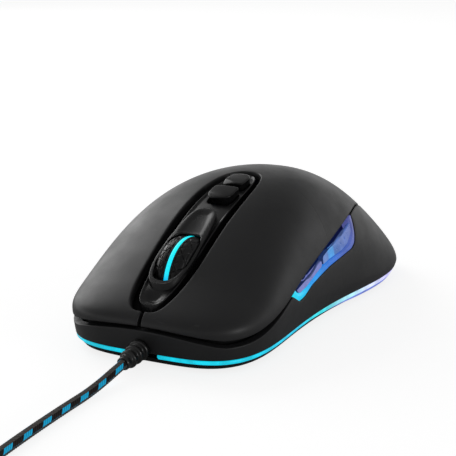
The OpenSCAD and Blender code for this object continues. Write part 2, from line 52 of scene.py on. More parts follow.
# ---- driving dimensions of the CAD, in millimetres and degrees ----
HALF = 63.0
THUMB_WIDTHS = [33, 29.5, 27, 27, 28.5, 31.5, 34.5, 35.5]
FINGER_WIDTHS = [31.5, 30.5, 33, 33.5, 32.5, 32.5, 32.5, 33]
SPINE_HEIGHTS = [17.5, 21, 29, 36, 39, 38.5, 35, 28, 20.5]
HUMP_RISE = 2.3
NOSE_POWER = 3.9
TAIL_POWER = 2.8
SHOULDER_Z = [10.3, 4.9]
CROWN_FALL = [3.7, 7.4]
PLAN_POWER = [4.7, 2.9]
RISE_POWER = [2.4, 1.55]
SEAM_HEIGHTS = [7, 7, 10.8, 15.2, 18.6, 22, 24.8, 26.3, 23, 16, 8]
NOSE_RISE = 2.6
LIP_GAP = 1.8
HINGE_Y = -4.0
SLOT_Y = [-60.8, -1.1]
SLOT_WIDTHS = [7.2, 7.8, 7.9]
SKIN_T = 2.0
TRIM_Y = [-57.8, -2.8]
POD_Y = [-53.4, -26.5]
DPI_Y = [-19.3, -9.9]
WHEEL_R = 12.0
WHEEL_HALF = 4.3
WHEEL_Y = -38.1
WHEEL_Z = 15.6
BAND_HALF = 0.65
HUB_R = 9.0
CABLE_R = 1.2
CABLE_END_Y = -130.0
CABLE_Z = 5.0
EXIT_Y = -60.0
EXIT_SLOPE = 0.158
RING_Z = [2.4, 3.6]
FLOOR_Z = 0.7
FLOOR_TOP = 2.3
FRONT_SCREWS = [(-20.6, -47.0), (20.6, -47.0)]
REAR_SCREWS = [(-12.0, 34.0), (12.0, 34.0)]
FRONT_FOOT = [-55.0, -49.0]
REAR_FOOT = [42.0, 51.0]
FOOT_REACH = 14.5
FOOT_RING = (7.0, 10.0)


# ---- shape functions, the same as in the CAD ----
def ease(t):
    t = np.clip(t, 0, 1)
    return t * t * (3 - 2 * t)


def mix(a, b, t):
    return a + (b - a) * t


def spline(control, u):
    c = np.asarray(control, float)
    n = len(c)
    padded = np.concatenate([[2 * c[0] - c[1]], c, [2 * c[-1] - c[-2]]])
    t = np.clip(u, 0, 1) * (n - 1)
    i = np.minimum(np.floor(t), n - 2).astype(int)
    f = t - i
    return ((1 - f) ** 3 * padded[i] + (3 * f**3 - 6 * f * f + 4) * padded[i + 1]
            + (-3 * f**3 + 3 * f * f + 3 * f + 1) * padded[i + 2] + f**3 * padded[i + 3]) / 6


def along(y):
    return np.clip((np.asarray(y, float) + HALF) / (2 * HALF), 0, 1)


def nose_to_tail(pair, y):
    return mix(pair[0], pair[1], ease(along(y)))


def signed_power(v, p):
    return np.sign(v) * np.abs(v) ** p


def half_width(y, side):
    return np.where(np.asarray(side) > 0, spline(THUMB_WIDTHS, along(y)), spline(FINGER_WIDTHS, along(y)))


def shoulder(y):
    return nose_to_tail(SHOULDER_Z, y)


def hump(x, y):
    return HUMP_RISE * np.exp(-((x / 18) ** 2) - ((y + 36) / 20) ** 2)


def crown(x, y):
    return spline(SPINE_HEIGHTS, along(y)) + hump(x, y) - nose_to_tail(CROWN_FALL, y) * (x / 32) ** 2


def plan(a, rho, inset=0.0):
    p = np.where(np.sin(a) < 0, NOSE_POWER, TAIL_POWER)
    y = rho * (HALF - inset) * signed_power(np.sin(a), 2 / p)
    return rho * (half_width(y, np.cos(a)) - inset) * signed_power(np.cos(a), 2 / p), y


def skin(a, v, inset=0.0):
    """Point of the skin: v is -1 at the rim, 0 at the shoulder and 1 at the crown."""
    a, v, inset = np.broadcast_arrays(np.asarray(a, float), np.asarray(v, float), inset)
    ex, ey = plan(a, 1.0, inset)
    s = shoulder(ey)
    low = np.clip(-v, 0, 2)
    k = 1 - 1.05 * low**1.5 / np.hypot(ex, ey)
    t = 0.5 * math.pi * np.clip(v, 0, 1)
    rho = np.maximum(np.cos(t), 0) ** (2 / nose_to_tail(PLAN_POWER, ey))
    qx, qy = plan(a, rho, inset)
    s2 = shoulder(qy)
    rise = (crown(qx, qy) - inset - s2) * np.sin(t) ** (2 / nose_to_tail(RISE_POWER, ey))
    below = v <= 0
    return np.stack([np.where(below, ex * k, qx), np.where(below, ey * k, qy),
                     np.where(below, s + v * (s - 3), s2 + rise)], -1)


def level(a, z, inset=0.0):
    s = shoulder(plan(a, 1.0, inset)[1])
    return -(s - z) / (s - 3)


def nose_bump(x, y):
    return np.maximum(0, 1 - (x / 22) ** 2) * ease((-54 - y) / 8)


def seam(x, y):
    return spline(SEAM_HEIGHTS, along(y)) + NOSE_RISE * nose_bump(x, y)


def gap(x, y):
    return (0.2 + 0.25 * ease((HINGE_Y - y) / 26)
            + (LIP_GAP - 0.45) * ease((-30 - y) / 20) * (1 - 0.6 * nose_bump(x, y)))


def meet_v(a, inset, height):
    """Skin parameter where column a reaches height(x, y)."""
    lo = np.full(np.shape(a), -1.3)
    hi = np.full(np.shape(a), 0.9)
    for _ in range(30):
        m = (lo + hi) / 2
        q = skin(a, m, inset)
        over = q[..., 2] > height(q[..., 0], q[..., 1])
        hi = np.where(over, m, hi)
        lo = np.where(over, lo, m)
    return (lo + hi) / 2


def top_z(x, y, depth=0.0):
    p = np.where(y < 0, NOSE_POWER, TAIL_POWER)
    rho = ((np.abs(x) / half_width(y, x)) ** p + (np.abs(y) / HALF) ** p) ** (1 / p)
    rho = np.clip(rho, 0.0001, 0.9999)
    y1 = np.clip(y / rho, -HALF, HALF)
    n = nose_to_tail(PLAN_POWER, y1)
    s = shoulder(y)
    return s + (crown(x, y) - s) * (1 - rho**n) ** (1 / nose_to_tail(RISE_POWER, y1)) - depth


def solve(f, lo, hi, steps=45):
    """Where the falling function f crosses zero, by bisection."""
    lo, hi = np.array(lo, float), np.array(hi, float)
    for _ in range(steps):
        m = (lo + hi) / 2
        up = f(m) > 0
        lo = np.where(up, m, lo)
        hi = np.where(up, hi, m)
    return (lo + hi) / 2


def side_x(y, z):
    """Thumb-side surface over a place in (y, z), above the shoulder."""
    y, z = np.broadcast_arrays(np.asarray(y, float), np.asarray(z, float))
    return solve(lambda x: top_z(x, y) - z, np.full(y.shape, 5.0), half_width(y, 1) * 0.99999)


def side_point(y, z, depth=0.0):
    """Point of the thumb side, sunk along its normal by depth, with that normal."""
    h = 0.05
    x = side_x(y, z)
    dy = (side_x(y + h, z) - side_x(y - h, z)) / (2 * h)
    dz = (side_x(y, z + h) - side_x(y, z - h)) / (2 * h)
    n = np.stack([np.ones_like(x), -dy, -dz], -1)
    n /= np.linalg.norm(n, axis=-1, keepdims=True)
    p = np.stack([x, y + 0 * x, z + 0 * x], -1)
    return p - np.asarray(depth)[..., None] * n, n


def slot_pt(a, ends, inset, front=3.7, rear=2.85):
    p = np.where(np.sin(a) < 0, front, rear)
    r = (np.abs(np.sin(a)) ** p + np.abs(np.cos(a)) ** p) ** (-1 / p)
    y = mix(ends[0], ends[1], 0.5 + 0.5 * r * np.sin(a))
    w = spline(SLOT_WIDTHS, (y - SLOT_Y[0]) / (SLOT_Y[1] - SLOT_Y[0])) - inset
    return np.stack([w * r * np.cos(a), y], -1)


# ---- mesh helpers ----
def arc(points):
    d = np.linalg.norm(np.diff(points, axis=0), axis=1)
    return np.concatenate([[0], np.cumsum(d)])


def resample(points, fractions):
    """Points along a polyline at fractions of its length."""
    s = arc(points)
    t = np.asarray(fractions) * s[-1]
    return np.stack([np.interp(t, s, points[:, k]) for k in range(points.shape[1])], -1)


def close_loop(points, spacing, smooth=0):
    """Even points round a closed outline, its corners softened."""
    pts = np.asarray(points, float)
    loop = np.vstack([pts, pts[:1]])
    n = max(12, int(round(arc(loop)[-1] / spacing)))
    out = resample(loop, np.arange(n) / n)
    for _ in range(smooth):
        out = (np.roll(out, 1, 0) + 2 * out + np.roll(out, -1, 0)) / 4
    return out


def grid_faces(rows, columns, closed=False, base=0):
    """Quads of a grid stored row by row."""
    faces = []
    last = columns if closed else columns - 1
    for i in range(rows - 1):
        for j in range(last):
            k = (j + 1) % columns
            faces.append((base + i * columns + j, base + i * columns + k,
                          base + (i + 1) * columns + k, base + (i + 1) * columns + j))
    return faces


def flip(faces):
    return [tuple(reversed(f)) for f in faces]


def vertex_normals(points, faces):
    n = np.zeros_like(points)
    quads = np.array([f if len(f) == 4 else (f[0], f[1], f[2], f[2]) for f in faces])
    cross = np.cross(points[quads[:, 2]] - points[quads[:, 0]], points[quads[:, 3]] - points[quads[:, 1]])
    tri = quads[:, 2] == quads[:, 3]
    cross[tri] = np.cross(points[quads[tri, 1]] - points[quads[tri, 0]],
                          points[quads[tri, 2]] - points[quads[tri, 0]])
    for k in range(4):
        np.add.at(n, quads[:, k], cross)
    return n / np.maximum(np.linalg.norm(n, axis=1, keepdims=True), 1e-12)


def boundary_loops(faces):
    edges = {}
    for f in faces:
        for a, b in zip(f, f[1:] + f[:1]):
            edges[(a, b)] = True
    follow = {a: b for (a, b) in edges if (b, a) not in edges}
    loops = []
    while follow:
        start, at = next(iter(follow.items()))
        loop = [start]
        del follow[start]
        while at != start:
            loop.append(at)
            at = follow.pop(at)
        loops.append(loop)
    return loops


def shell(points, faces, thickness, radius, steps=4, normals=None):
    """Closed shell under a patch, its edges rolled outwards by radius: a number or a function of the point."""
    faces = [tuple(f) for f in faces]
    n = vertex_normals(points, faces) if normals is None else normals
    t = thickness if np.ndim(thickness) else np.full(len(points), float(thickness))
    verts = [points, points - t[:, None] * n]
    count = len(points)
    out = list(faces) + [tuple(i + count for i in reversed(f)) for f in faces]
    base = 2 * count
    for loop in boundary_loops(faces):
        loop = np.array(loop)
        b, m_n = points[loop], n[loop]
        ahead = np.roll(b, -1, 0) - b
        ahead /= np.maximum(np.linalg.norm(ahead, axis=1, keepdims=True), 1e-9)
        behind = np.roll(ahead, 1, 0)
        m1, m2 = np.cross(ahead, m_n), np.cross(behind, m_n)
        m = m1 + m2
        m /= np.maximum(np.linalg.norm(m, axis=1, keepdims=True), 1e-9)
        m /= np.maximum((m * m1).sum(1), 0.7)[:, None]
        r = np.array([radius(p) for p in b]) if callable(radius) else np.full(len(b), float(radius))
        previous = loop
        for k in range(1, steps + 2):
            if k <= steps:
                th = 0.5 * math.pi * k / steps
                side, down = r * math.sin(th), r * (1 - math.cos(th))
            else:
                side, down = r, t[loop]
            verts.append(b + m * side[:, None] - m_n * down[:, None])
            ring = np.arange(base, base + len(loop))
            base += len(loop)
            for i in range(len(loop)):
                j = (i + 1) % len(loop)
                out.append((previous[j], previous[i], ring[i], ring[j]))
            previous = ring
        inner = loop + count
        for i in range(len(loop)):
            j = (i + 1) % len(loop)
            out.append((previous[j], previous[i], inner[i], inner[j]))
    return np.vstack(verts), out


def inside(points, polygon):
    x, y = points[:, 0], points[:, 1]
    hit = np.zeros(len(points), bool)
    px, py = polygon[:, 0], polygon[:, 1]
    for i in range(len(polygon)):
        j = i - 1
        crosses = (py[i] > y) != (py[j] > y)
        with np.errstate(divide="ignore", invalid="ignore"):
            at = (px[j] - px[i]) * (y - py[i]) / (py[j] - py[i]) + px[i]
        hit ^= crosses & (x < at)
    return hit


def outline_distance(points, polygon):
    best = np.full(len(points), 1e9)
    for i in range(len(polygon)):
        a, b = polygon[i - 1], polygon[i]
        d = b - a
        t = np.clip(((points - a) @ d) / max(d @ d, 1e-12), 0, 1)
        best = np.minimum(best, np.linalg.norm(points - a - t[:, None] * d, axis=1))
    return best


def fill(outline, holes, spacing):
    """Flat triangles inside an outline, with holes: (points, faces turning anticlockwise)."""
    loops = [outline] + list(holes)
    low, high = outline.min(0), outline.max(0)
    gx = np.arange(low[0], high[0], spacing)
    gy = np.arange(low[1], high[1], spacing * 0.866)
    mesh = np.array([(x + (spacing / 2 if j % 2 else 0), y) for j, y in enumerate(gy) for x in gx])
    keep = inside(mesh, outline)
    for h in holes:
        keep &= ~inside(mesh, h)
    mesh = mesh[keep]
    for loop in loops:
        mesh = mesh[outline_distance(mesh, loop) > spacing * 0.55]
    points = np.vstack(loops + [mesh])
    edges, at = [], 0
    for loop in loops:
        n = len(loop)
        edges += [(at + i, at + (i + 1) % n) for i in range(n)]
        at += n
    result = delaunay_2d_cdt([Vector(p) for p in points], edges, [], 1, 1e-7)
    verts = np.array([tuple(v) for v in result[0]])
    tris = np.array([tuple(f) for f in result[2]])
    middle = verts[tris].mean(1)
    keep = inside(middle, outline)
    for h in holes:
        keep &= ~inside(middle, h)
    tris = tris[keep]
    a, b, c = verts[tris[:, 0]], verts[tris[:, 1]], verts[tris[:, 2]]
    turn = (b[:, 0] - a[:, 0]) * (c[:, 1] - a[:, 1]) - (b[:, 1] - a[:, 1]) * (c[:, 0] - a[:, 0])
    faces = [tuple(t) if s > 0 else tuple(t[::-1]) for t, s in zip(tris.tolist(), turn)]
    return verts, faces


def make(name, verts, faces, material, body=None, replaces=(), slot=None, sharp=35, uv=None):
    """Blender object from points in millimetres."""
    mesh = bpy.data.meshes.new(name)
    mesh.from_pydata((np.asarray(verts) * MM).tolist(), [], [tuple(int(i) for i in f) for f in faces])
    if uv is not None:
        layer = mesh.uv_layers.new(name="along")
        index = np.zeros(len(mesh.loops), int)
        mesh.loops.foreach_get("vertex_index", index)
        layer.data.foreach_set("uv", np.asarray(uv, np.float32)[index].ravel())
    mesh.validate()
    mesh.polygons.foreach_set("use_smooth", np.ones(len(mesh.polygons), bool))
    mesh.set_sharp_from_angle(angle=math.radians(sharp))
    mesh.update()
    mesh.materials.append(material)
    o = bpy.data.objects.new(name, mesh)
    bpy.context.scene.collection.objects.link(o)
    if body:
        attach(o, body)
    if replaces:
        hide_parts(*replaces)
    return o


def revolve(profile, sides, closed=True):
    """Rings of a closed profile of (radius, height) turned about +Z."""
    p = np.asarray(profile, float)
    a = np.arange(sides) * TAU / sides
    pts = np.stack([p[:, None, 0] * np.cos(a), p[:, None, 0] * np.sin(a),
                    p[:, None, 1] + 0 * a], -1).reshape(-1, 3)
    faces = grid_faces(len(p), sides, True)
    if closed:
        last = (len(p) - 1) * sides
        faces += [(last + j, last + (j + 1) % sides, (j + 1) % sides, j) for j in range(sides)]
    return pts, faces


# ---- materials ----
class Nodes:
    """Small helper that adds shader nodes and links them."""

    def __init__(self, name):
        self.material = bpy.data.materials.new(name)
        self.material.use_nodes = True
        self.tree = self.material.node_tree
        self.bsdf = self.tree.nodes["Principled BSDF"]

    def add(self, kind, inputs=None, **settings):
        node = self.tree.nodes.new(kind)
        for k, v in settings.items():
            setattr(node, k, v)
        for k, v in (inputs or {}).items():
            self.put(node.inputs[k], v)
        return node

    def put(self, socket, value):
        if isinstance(value, bpy.types.NodeSocket):
            self.tree.links.new(value, socket)
        else:
            socket.default_value = value

    def set(self, **inputs):
        for k, v in inputs.items():
            self.put(self.bsdf.inputs[k.replace("_", " ")], v)

    def math(self, operation, a, b=0.0, c=0.0, clamp=False):
        node = self.add("ShaderNodeMath", {0: a, 1: b}, operation=operation, use_clamp=clamp)
        self.put(node.inputs[2], c)
        return node.outputs[0]

    def remap(self, value, low, high, to_low=0.0, to_high=1.0, smooth=True):
        node = self.add("ShaderNodeMapRange", {0: value, 1: low, 2: high, 3: to_low, 4: to_high})
        node.interpolation_type = "SMOOTHSTEP" if smooth else "LINEAR"
        return node.outputs[0]

    def place(self, which="Object"):
        return self.add("ShaderNodeTexCoord").outputs[which]

    def axis(self, name, which="Object"):
        node = self.add("ShaderNodeSeparateXYZ", {0: self.place(which)})
        return node.outputs[name]

    def noise(self, scale, detail=3.0, rough=0.55, vector=None):
        node = self.add("ShaderNodeTexNoise", {"Scale": scale, "Detail": detail, "Roughness": rough,
                                               "Vector": vector or self.place()})
        return node.outputs["Fac"]

    def ramp(self, value, stops, smooth=True):
        node = self.add("ShaderNodeValToRGB", {0: value})
        node.color_ramp.interpolation = "EASE" if smooth else "LINEAR"
        elements = node.color_ramp.elements
        while len(elements) < len(stops):
            elements.new(0.5)
        for e, (at, colour) in zip(elements, stops):
            e.position = at
            e.color = (*colour, 1)
        return node.outputs[0]

    def blend(self, factor, a, b):
        node = self.add("ShaderNodeMix", data_type="RGBA")
        for socket, value in zip([node.inputs[0], node.inputs[6], node.inputs[7]], [factor, a, b]):
            self.put(socket, (*value, 1) if isinstance(value, tuple) and len(value) == 3 else value)
        return node.outputs[2]

    def bump(self, height, strength, distance=0.0002):
        node = self.add("ShaderNodeBump", {"Strength": strength, "Distance": distance, "Height": height})
        self.set(Normal=node.outputs[0])
        return node

    def edge_wear(self):
        point = self.add("ShaderNodeNewGeometry").outputs["Pointiness"]
        return self.remap(point, 0.52, 0.62)


def plastic(name, colour, rough=0.45, grain=5200.0, grain_depth=0.25, specular=0.3, spread=0.25,
            wear=0.35, coat=0.0, sheen=0.0):
    """Moulded plastic: fine grain, faint handling marks in the gloss, and paler worn edges."""
    m = Nodes(name)
    cloud = m.noise(38, 4)
    fine = m.noise(grain, 2)
    smudge = m.noise(95, 5, 0.65)
    dark = tuple(c * (1 - spread) for c in colour)
    light = tuple(min(1, c * (1 + spread)) for c in colour)
    base = m.blend(m.remap(cloud, 0.3, 0.7), dark, light)
    worn = m.math("MULTIPLY", m.edge_wear(), wear)
    pale = tuple(min(1, c * 2.2 + 0.012) for c in colour)
    m.set(Base_Color=m.blend(worn, base, pale), Specular_IOR_Level=specular)
    roughness = m.remap(smudge, 0.25, 0.75, rough - 0.05, rough + 0.06)
    m.set(Roughness=m.math("ADD", roughness, m.math("MULTIPLY", fine, 0.05)))
    if coat:
        m.set(Coat_Weight=coat, Coat_Roughness=0.18)
    if sheen:
        m.set(Sheen_Weight=sheen, Sheen_Roughness=0.5)
    m.bump(m.math("ADD", fine, m.math("MULTIPLY", smudge, 0.15)), grain_depth, 0.00004)
    return m.material


def glowing(name, stops, low, high, strength, rough=0.3, axis="Y", body=(0.02, 0.1, 0.12), streak=0.25, under=None):
    """Milky diffuser lit from inside: its colour runs along an axis, with soft hot spots."""
    m = Nodes(name)
    t = m.remap(m.axis(axis), low * MM, high * MM, smooth=False)
    colour = m.ramp(t, stops)
    if under:
        colour = m.blend(m.remap(m.axis("Z"), under[1] * MM, under[2] * MM), colour, under[0])
    haze = m.remap(m.noise(210, 3), 0.3, 0.7, 1 - streak, 1 + streak)
    grain = m.remap(m.noise(2600, 2), 0.35, 0.65, 0.94, 1.06)
    seen = m.remap(m.add("ShaderNodeLightPath").outputs["Is Camera Ray"], 0, 1, 0.2 * strength, strength)
    if under:
        facing = m.add("ShaderNodeSeparateXYZ", {0: m.add("ShaderNodeNewGeometry").outputs["Normal"]}).outputs["Z"]
        seen = m.math("MULTIPLY", seen, m.remap(facing, 0.97, 0.9))
    m.set(Base_Color=(*body, 1), Roughness=m.remap(m.noise(900, 2), 0.3, 0.7, rough - 0.05, rough + 0.08),
          Emission_Color=colour, Emission_Strength=m.math("MULTIPLY", m.math("MULTIPLY", haze, grain), seen))
    m.bump(m.noise(1800, 2), 0.15, 0.00005)
    return m.material


BLACK = (0.0105, 0.0105, 0.0112)
soft_touch = plastic("soft_touch_black", BLACK, rough=0.42, grain_depth=0.22, specular=0.42)
satin = plastic("satin_black", (0.004, 0.004, 0.0045), rough=0.26, grain=3800, grain_depth=0.5, specular=0.4)
base_black = plastic("base_black", (0.0075, 0.0073, 0.0075), rough=0.5, grain=3000, grain_depth=0.5, specular=0.25)
inner_black = plastic("inner_black", (0.004, 0.004, 0.0042), rough=0.6, specular=0.15)
rubber = plastic("tyre_rubber", (0.005, 0.005, 0.0055), rough=0.33, grain=2600, grain_depth=0.4, specular=0.35)
boot_rubber = plastic("boot_rubber", (0.005, 0.005, 0.0052), rough=0.28, grain=2400, grain_depth=0.3, specular=0.6)

CYAN = (0.0, 0.62, 0.85)
RIM_STOPS = [(0.0, (0.0, 0.60, 0.78)), (0.28, (0.0, 0.55, 0.80)), (0.42, (0.03, 0.72, 0.80)),
             (0.56, (0.42, 0.82, 0.95)), (0.66, (0.70, 0.75, 1.0)), (0.78, (0.62, 0.55, 1.0)),
             (0.88, (0.30, 0.28, 0.85)), (1.0, (0.12, 0.10, 0.60))]
rim_glow = glowing("rim_diffuser", RIM_STOPS, -63, 63, 0.95, streak=0.2, under=((0.14, 0.17, 0.62), 2.5, 2.1))
wheel_glow = glowing("wheel_diffuser", [(0.0, (0.0, 0.35, 0.85)), (0.45, (0.0, 0.72, 0.88)),
                                        (1.0, (0.0, 0.80, 0.90))], 17, 27, 1.1, axis="Z", streak=0.08)
BEZEL_STOPS = [(0.0, (0.0, 0.72, 0.90)), (0.12, (0.0, 0.58, 0.88)), (0.30, (0.01, 0.30, 0.80)),
               (0.55, (0.02, 0.15, 0.60)), (0.75, (0.05, 0.11, 0.46)), (1.0, (0.09, 0.09, 0.27))]
bezel_glow = glowing("panel_diffuser", BEZEL_STOPS, -31, 16.5, 0.95, streak=0.1, body=(0.01, 0.03, 0.08))

gloss_key = plastic("gloss_key", (0.004, 0.004, 0.0045), rough=0.2, grain=3000, grain_depth=0.12, specular=0.25)
slider = plastic("slider_ptfe", (0.03, 0.03, 0.032), rough=0.3, grain=1500, grain_depth=0.2, specular=0.5)
hub_plastic = plastic("hub_plastic", (0.03, 0.032, 0.036), rough=0.4)
switch_case = plastic("switch_case", (0.012, 0.012, 0.013), rough=0.35, grain=2600)
ivory = plastic("ivory_plastic", (0.62, 0.58, 0.48), rough=0.4, specular=0.5, spread=0.08, wear=0.1)
blue_case = plastic("encoder_case", (0.02, 0.12, 0.38), rough=0.4, specular=0.5)
wire = plastic("wire_jacket", (0.35, 0.03, 0.03), rough=0.45, specular=0.5)
led = glowing("led", [(0.0, (0.5, 0.9, 1.0)), (1.0, (0.6, 0.6, 1.0))], -60, 30, 0.6, body=(0.8, 0.8, 0.7))
TRAY_STOPS = [(0.0, (0.003, 0.006, 0.05)), (0.5, (0.002, 0.008, 0.07)), (1.0, (0.004, 0.004, 0.05))]
tray_blue = glowing("panel_tray", TRAY_STOPS, -31, 16, 0.5, rough=0.4, body=(0.002, 0.003, 0.015))


def metal(name, colour, rough):
    m = Nodes(name)
    scratch = m.noise(700, 4, 0.7)
    m.set(Base_Color=m.blend(scratch, tuple(c * 0.8 for c in colour), colour), Metallic=1.0,
          Roughness=m.remap(scratch, 0.2, 0.8, rough - 0.08, rough + 0.12))
    m.bump(m.noise(1800, 3), 0.2, 0.00003)
    return m.material


def circuit_board():
    """Green board with copper lines under its lacquer."""
    m = Nodes("circuit_board")
    warped = m.add("ShaderNodeTexVoronoi", {"Scale": 420, "Vector": m.place()}, feature="DISTANCE_TO_EDGE",
                   distance="CHEBYCHEV").outputs["Distance"]
    line = m.remap(warped, 0.06, 0.10)
    m.set(Base_Color=m.blend(line, (0.02, 0.14, 0.05), (0.006, 0.06, 0.018)), Specular_IOR_Level=0.5,
          Roughness=m.remap(m.noise(160), 0.3, 0.7, 0.22, 0.38), Coat_Weight=0.3)
    m.bump(line, 0.3, 0.00004)
    return m.material


def clear_plastic():
    m = Nodes("clear_lens")
    m.set(Base_Color=(0.85, 0.93, 0.95, 1), Transmission_Weight=0.9, IOR=1.49,
          Roughness=m.remap(m.noise(300), 0.3, 0.7, 0.03, 0.12))
    m.bump(m.noise(900), 0.08, 0.00003)
    return m.material


def panel_key_look():
    """Frosted key lit from behind: greyish blue face, a brighter patch at the rear key's front, and painted shade on
    the upper facet, the front end walls and the faces turned away from +X.
    """
    m = Nodes("panel_key")
    y, z = m.axis("Y"), m.axis("Z")
    t = m.remap(y, -28 * MM, 13 * MM, smooth=False)
    face = m.ramp(t, [(0.0, (0.17, 0.19, 0.47)), (0.40, (0.16, 0.18, 0.46)), (0.50, (0.13, 0.24, 0.55)),
                      (0.60, (0.06, 0.17, 0.48)), (0.8, (0.07, 0.14, 0.42)), (1.0, (0.03, 0.07, 0.30))])
    patch = m.math("MULTIPLY", m.remap(y, -5.8 * MM, -4.8 * MM), m.remap(y, -1.0 * MM, -2.0 * MM))
    lit = m.blend(patch, face, (0.06, 0.32, 0.74))
    crease = m.ramp(t, [(0.0, (0.475,) * 3), (0.2, (0.497,) * 3), (0.45, (0.580,) * 3), (0.47, (0.63,) * 3),
                        (0.61, (0.655,) * 3), (0.78, (0.70,) * 3), (1.0, (0.78,) * 3)])
    # painted shade: the facet above the crease, and the walls facing the front or turned away from +X, glow dark navy
    # in place of the key's face colour
    facet_shade = m.remap(m.math("SUBTRACT", z, m.math("MULTIPLY", crease, 30 * MM)), 0.0, 0.3 * MM)
    facing = m.add("ShaderNodeSeparateXYZ", {0: m.add("ShaderNodeNewGeometry").outputs["Normal"]}).outputs
    wall_shade = m.math("MAXIMUM", m.remap(facing["Y"], -0.6, -0.75), m.remap(facing["X"], 0.5, 0.35))
    shaded = m.math("MAXIMUM", facet_shade, wall_shade)
    colour = m.blend(shaded, lit, m.blend(t, (0.006, 0.012, 0.06), (0.02, 0.05, 0.17)))
    haze = m.remap(m.noise(240, 4), 0.3, 0.7, 0.8, 1.15)
    m.set(Base_Color=(0.02, 0.03, 0.08, 1), Roughness=m.remap(m.noise(800, 2), 0.3, 0.7, 0.16, 0.3),
          Specular_IOR_Level=0.4, Emission_Color=colour, Emission_Strength=haze, Coat_Weight=0.2)
    m.bump(m.noise(1500, 2), 0.12, 0.00004)
    return m.material


def braid_look():
    """Sleeve of dark yarns, with a run of blue ones that comes to the top once each repeat; painted shade darkens the
    grooves between the yarns, and a painted glow brightens the blue ones.
    """
    m = Nodes("braid_cloth")
    uv = m.add("ShaderNodeSeparateXYZ", {0: m.place("UV")})
    run, turn = uv.outputs["X"], uv.outputs["Y"]
    across = m.math("MULTIPLY", turn, float(YARNS))
    ahead = m.math("MULTIPLY", run, YARNS / CHECK)
    p, q = m.math("ADD", across, ahead), m.math("SUBTRACT", across, ahead)
    track = m.math("FRACT", m.math("ADD", m.math("MULTIPLY", turn, float(TRACKS)), TRACK_TURN))
    over = m.math("LESS_THAN", track, 0.46)
    yarn = m.math("FLOOR", p)
    which = m.math("FLOORED_MODULO", yarn, float(YARNS))
    blue = m.math("MULTIPLY", m.math("LESS_THAN", which, 3.5), over)
    fibre = m.noise(5200, 3)
    mottled = m.noise(900, 3)
    grey = m.blend(mottled, (0.04, 0.037, 0.034), (0.14, 0.125, 0.115))
    black = m.blend(mottled, (0.004, 0.003, 0.003), (0.02, 0.014, 0.013))
    tracer = m.blend(fibre, (0.0, 0.30, 0.62), (0.02, 0.62, 0.95))
    dark = m.blend(over, grey, black)
    cloth = m.blend(blue, dark, tracer)
    a = m.math("ABSOLUTE", m.math("SINE", m.math("MULTIPLY", p, math.pi)))
    b = m.math("ABSOLUTE", m.math("SINE", m.math("MULTIPLY", q, math.pi)))
    ridge = m.add("ShaderNodeMix", {0: over, 2: b, 3: a}).outputs[0]
    # painted shade: the colour darkens towards black in the grooves between the yarns
    shade = m.remap(ridge, 0.0, 0.55, 0.25, 1.0)
    # painted glow: the blue yarns emit light in their own colour, strongest on the yarn tops, so they read brighter
    m.set(Base_Color=m.blend(shade, (0.002, 0.002, 0.002), cloth), Roughness=0.75, Specular_IOR_Level=0.2,
          Sheen_Weight=0.15, Sheen_Roughness=0.4, Emission_Color=m.blend(blue, (0, 0, 0), (0.0, 0.22, 0.40)),
          Emission_Strength=m.math("MULTIPLY", shade, 0.45))
    m.bump(m.math("ADD", ridge, m.math("MULTIPLY", fibre, 0.4)), 0.6, 0.0001)
    return m.material


steel = metal("steel", (0.55, 0.55, 0.56), 0.3)
board = circuit_board()
lens = clear_plastic()
key_glow = panel_key_look()
YARNS = 9        # yarns that turn each way round the cable
CHECK = 7.8      # length of the braid's colour repeat
TRACKS = 3       # places round the cable where the coloured yarns come to the top
TRACK_TURN = 0.03 # how far they are turned round it
braid_cloth = braid_look()


def skin_piece(name, points, faces, material, radius, **options):
    verts, quads = shell(points, faces, SKIN_T, radius)
    return make(name, verts, quads, material, **options)


# ---- top skins ----
LIP_R = 0.35      # rounding of the lip and of the slot's edge
CENTRE_X = 0.5    # half of the gap between the main buttons
ROWS = 56


def lip_height(x, y):
    return seam(x, y) + gap(x, y) + LIP_R


def to_plane(x, y):
    return np.stack([x / half_width(y, x), np.asarray(y) / HALF], -1)


def from_plane(s):
    y = s[..., 1] * HALF
    return s[..., 0] * half_width(y, s[..., 0]), y


def skin_path(start, target, a=None, v0=None):
    """Points on the skin from the lip to a place in plan."""
    path = []
    first = np.array(start, float)
    if a is not None and v0 < 0.12:
        edge = skin(np.full(60, a), np.linspace(v0, 0.12, 60))
        path.append(edge[:-1])
        first = edge[-1]
    s0, s1 = to_plane(first[0], first[1]), to_plane(target[0], target[1])
    t = np.linspace(0, 1, 240)[:, None] ** 1.5
    x, y = from_plane(s0 + (s1 - s0) * t)
    path.append(np.stack([x, y, top_z(x, y)], -1))
    return np.vstack(path)


def lip_angles(a_low, a_high, count=2500):
    """Angles between two limits, crowded where the outline runs straight along Y."""
    u = np.linspace(0, 1, count)
    split = signed_power(np.array([a_low, a_high]), 0.5)
    return signed_power(mix(split[0], split[1], u), 2)


def edge_at_hinge(side):
    """Lip point of a side at the hinge."""
    y = HINGE_Y
    w = half_width(y, side)
    x = solve(lambda x: top_z(side * x, y) - lip_height(side * x, y), 5.0, w * 0.9999)
    return np.array([side * float(x), y])


def slot_edge(outset, count=4000):
    a = np.linspace(-0.5 * math.pi, 1.5 * math.pi, count, endpoint=False)
    return slot_pt(a, [SLOT_Y[0] - outset, SLOT_Y[1] + outset], -outset)


def hinge_column(side, rows):
    edge = slot_edge(LIP_R)
    half = edge[(edge[:, 0] * side > 0) & (edge[:, 1] > -12)]
    x = np.interp(HINGE_Y, half[np.argsort(half[:, 1]), 1], half[np.argsort(half[:, 1]), 0])
    start = edge_at_hinge(side)
    return resample(skin_path(start, (float(x), HINGE_Y)), rows)


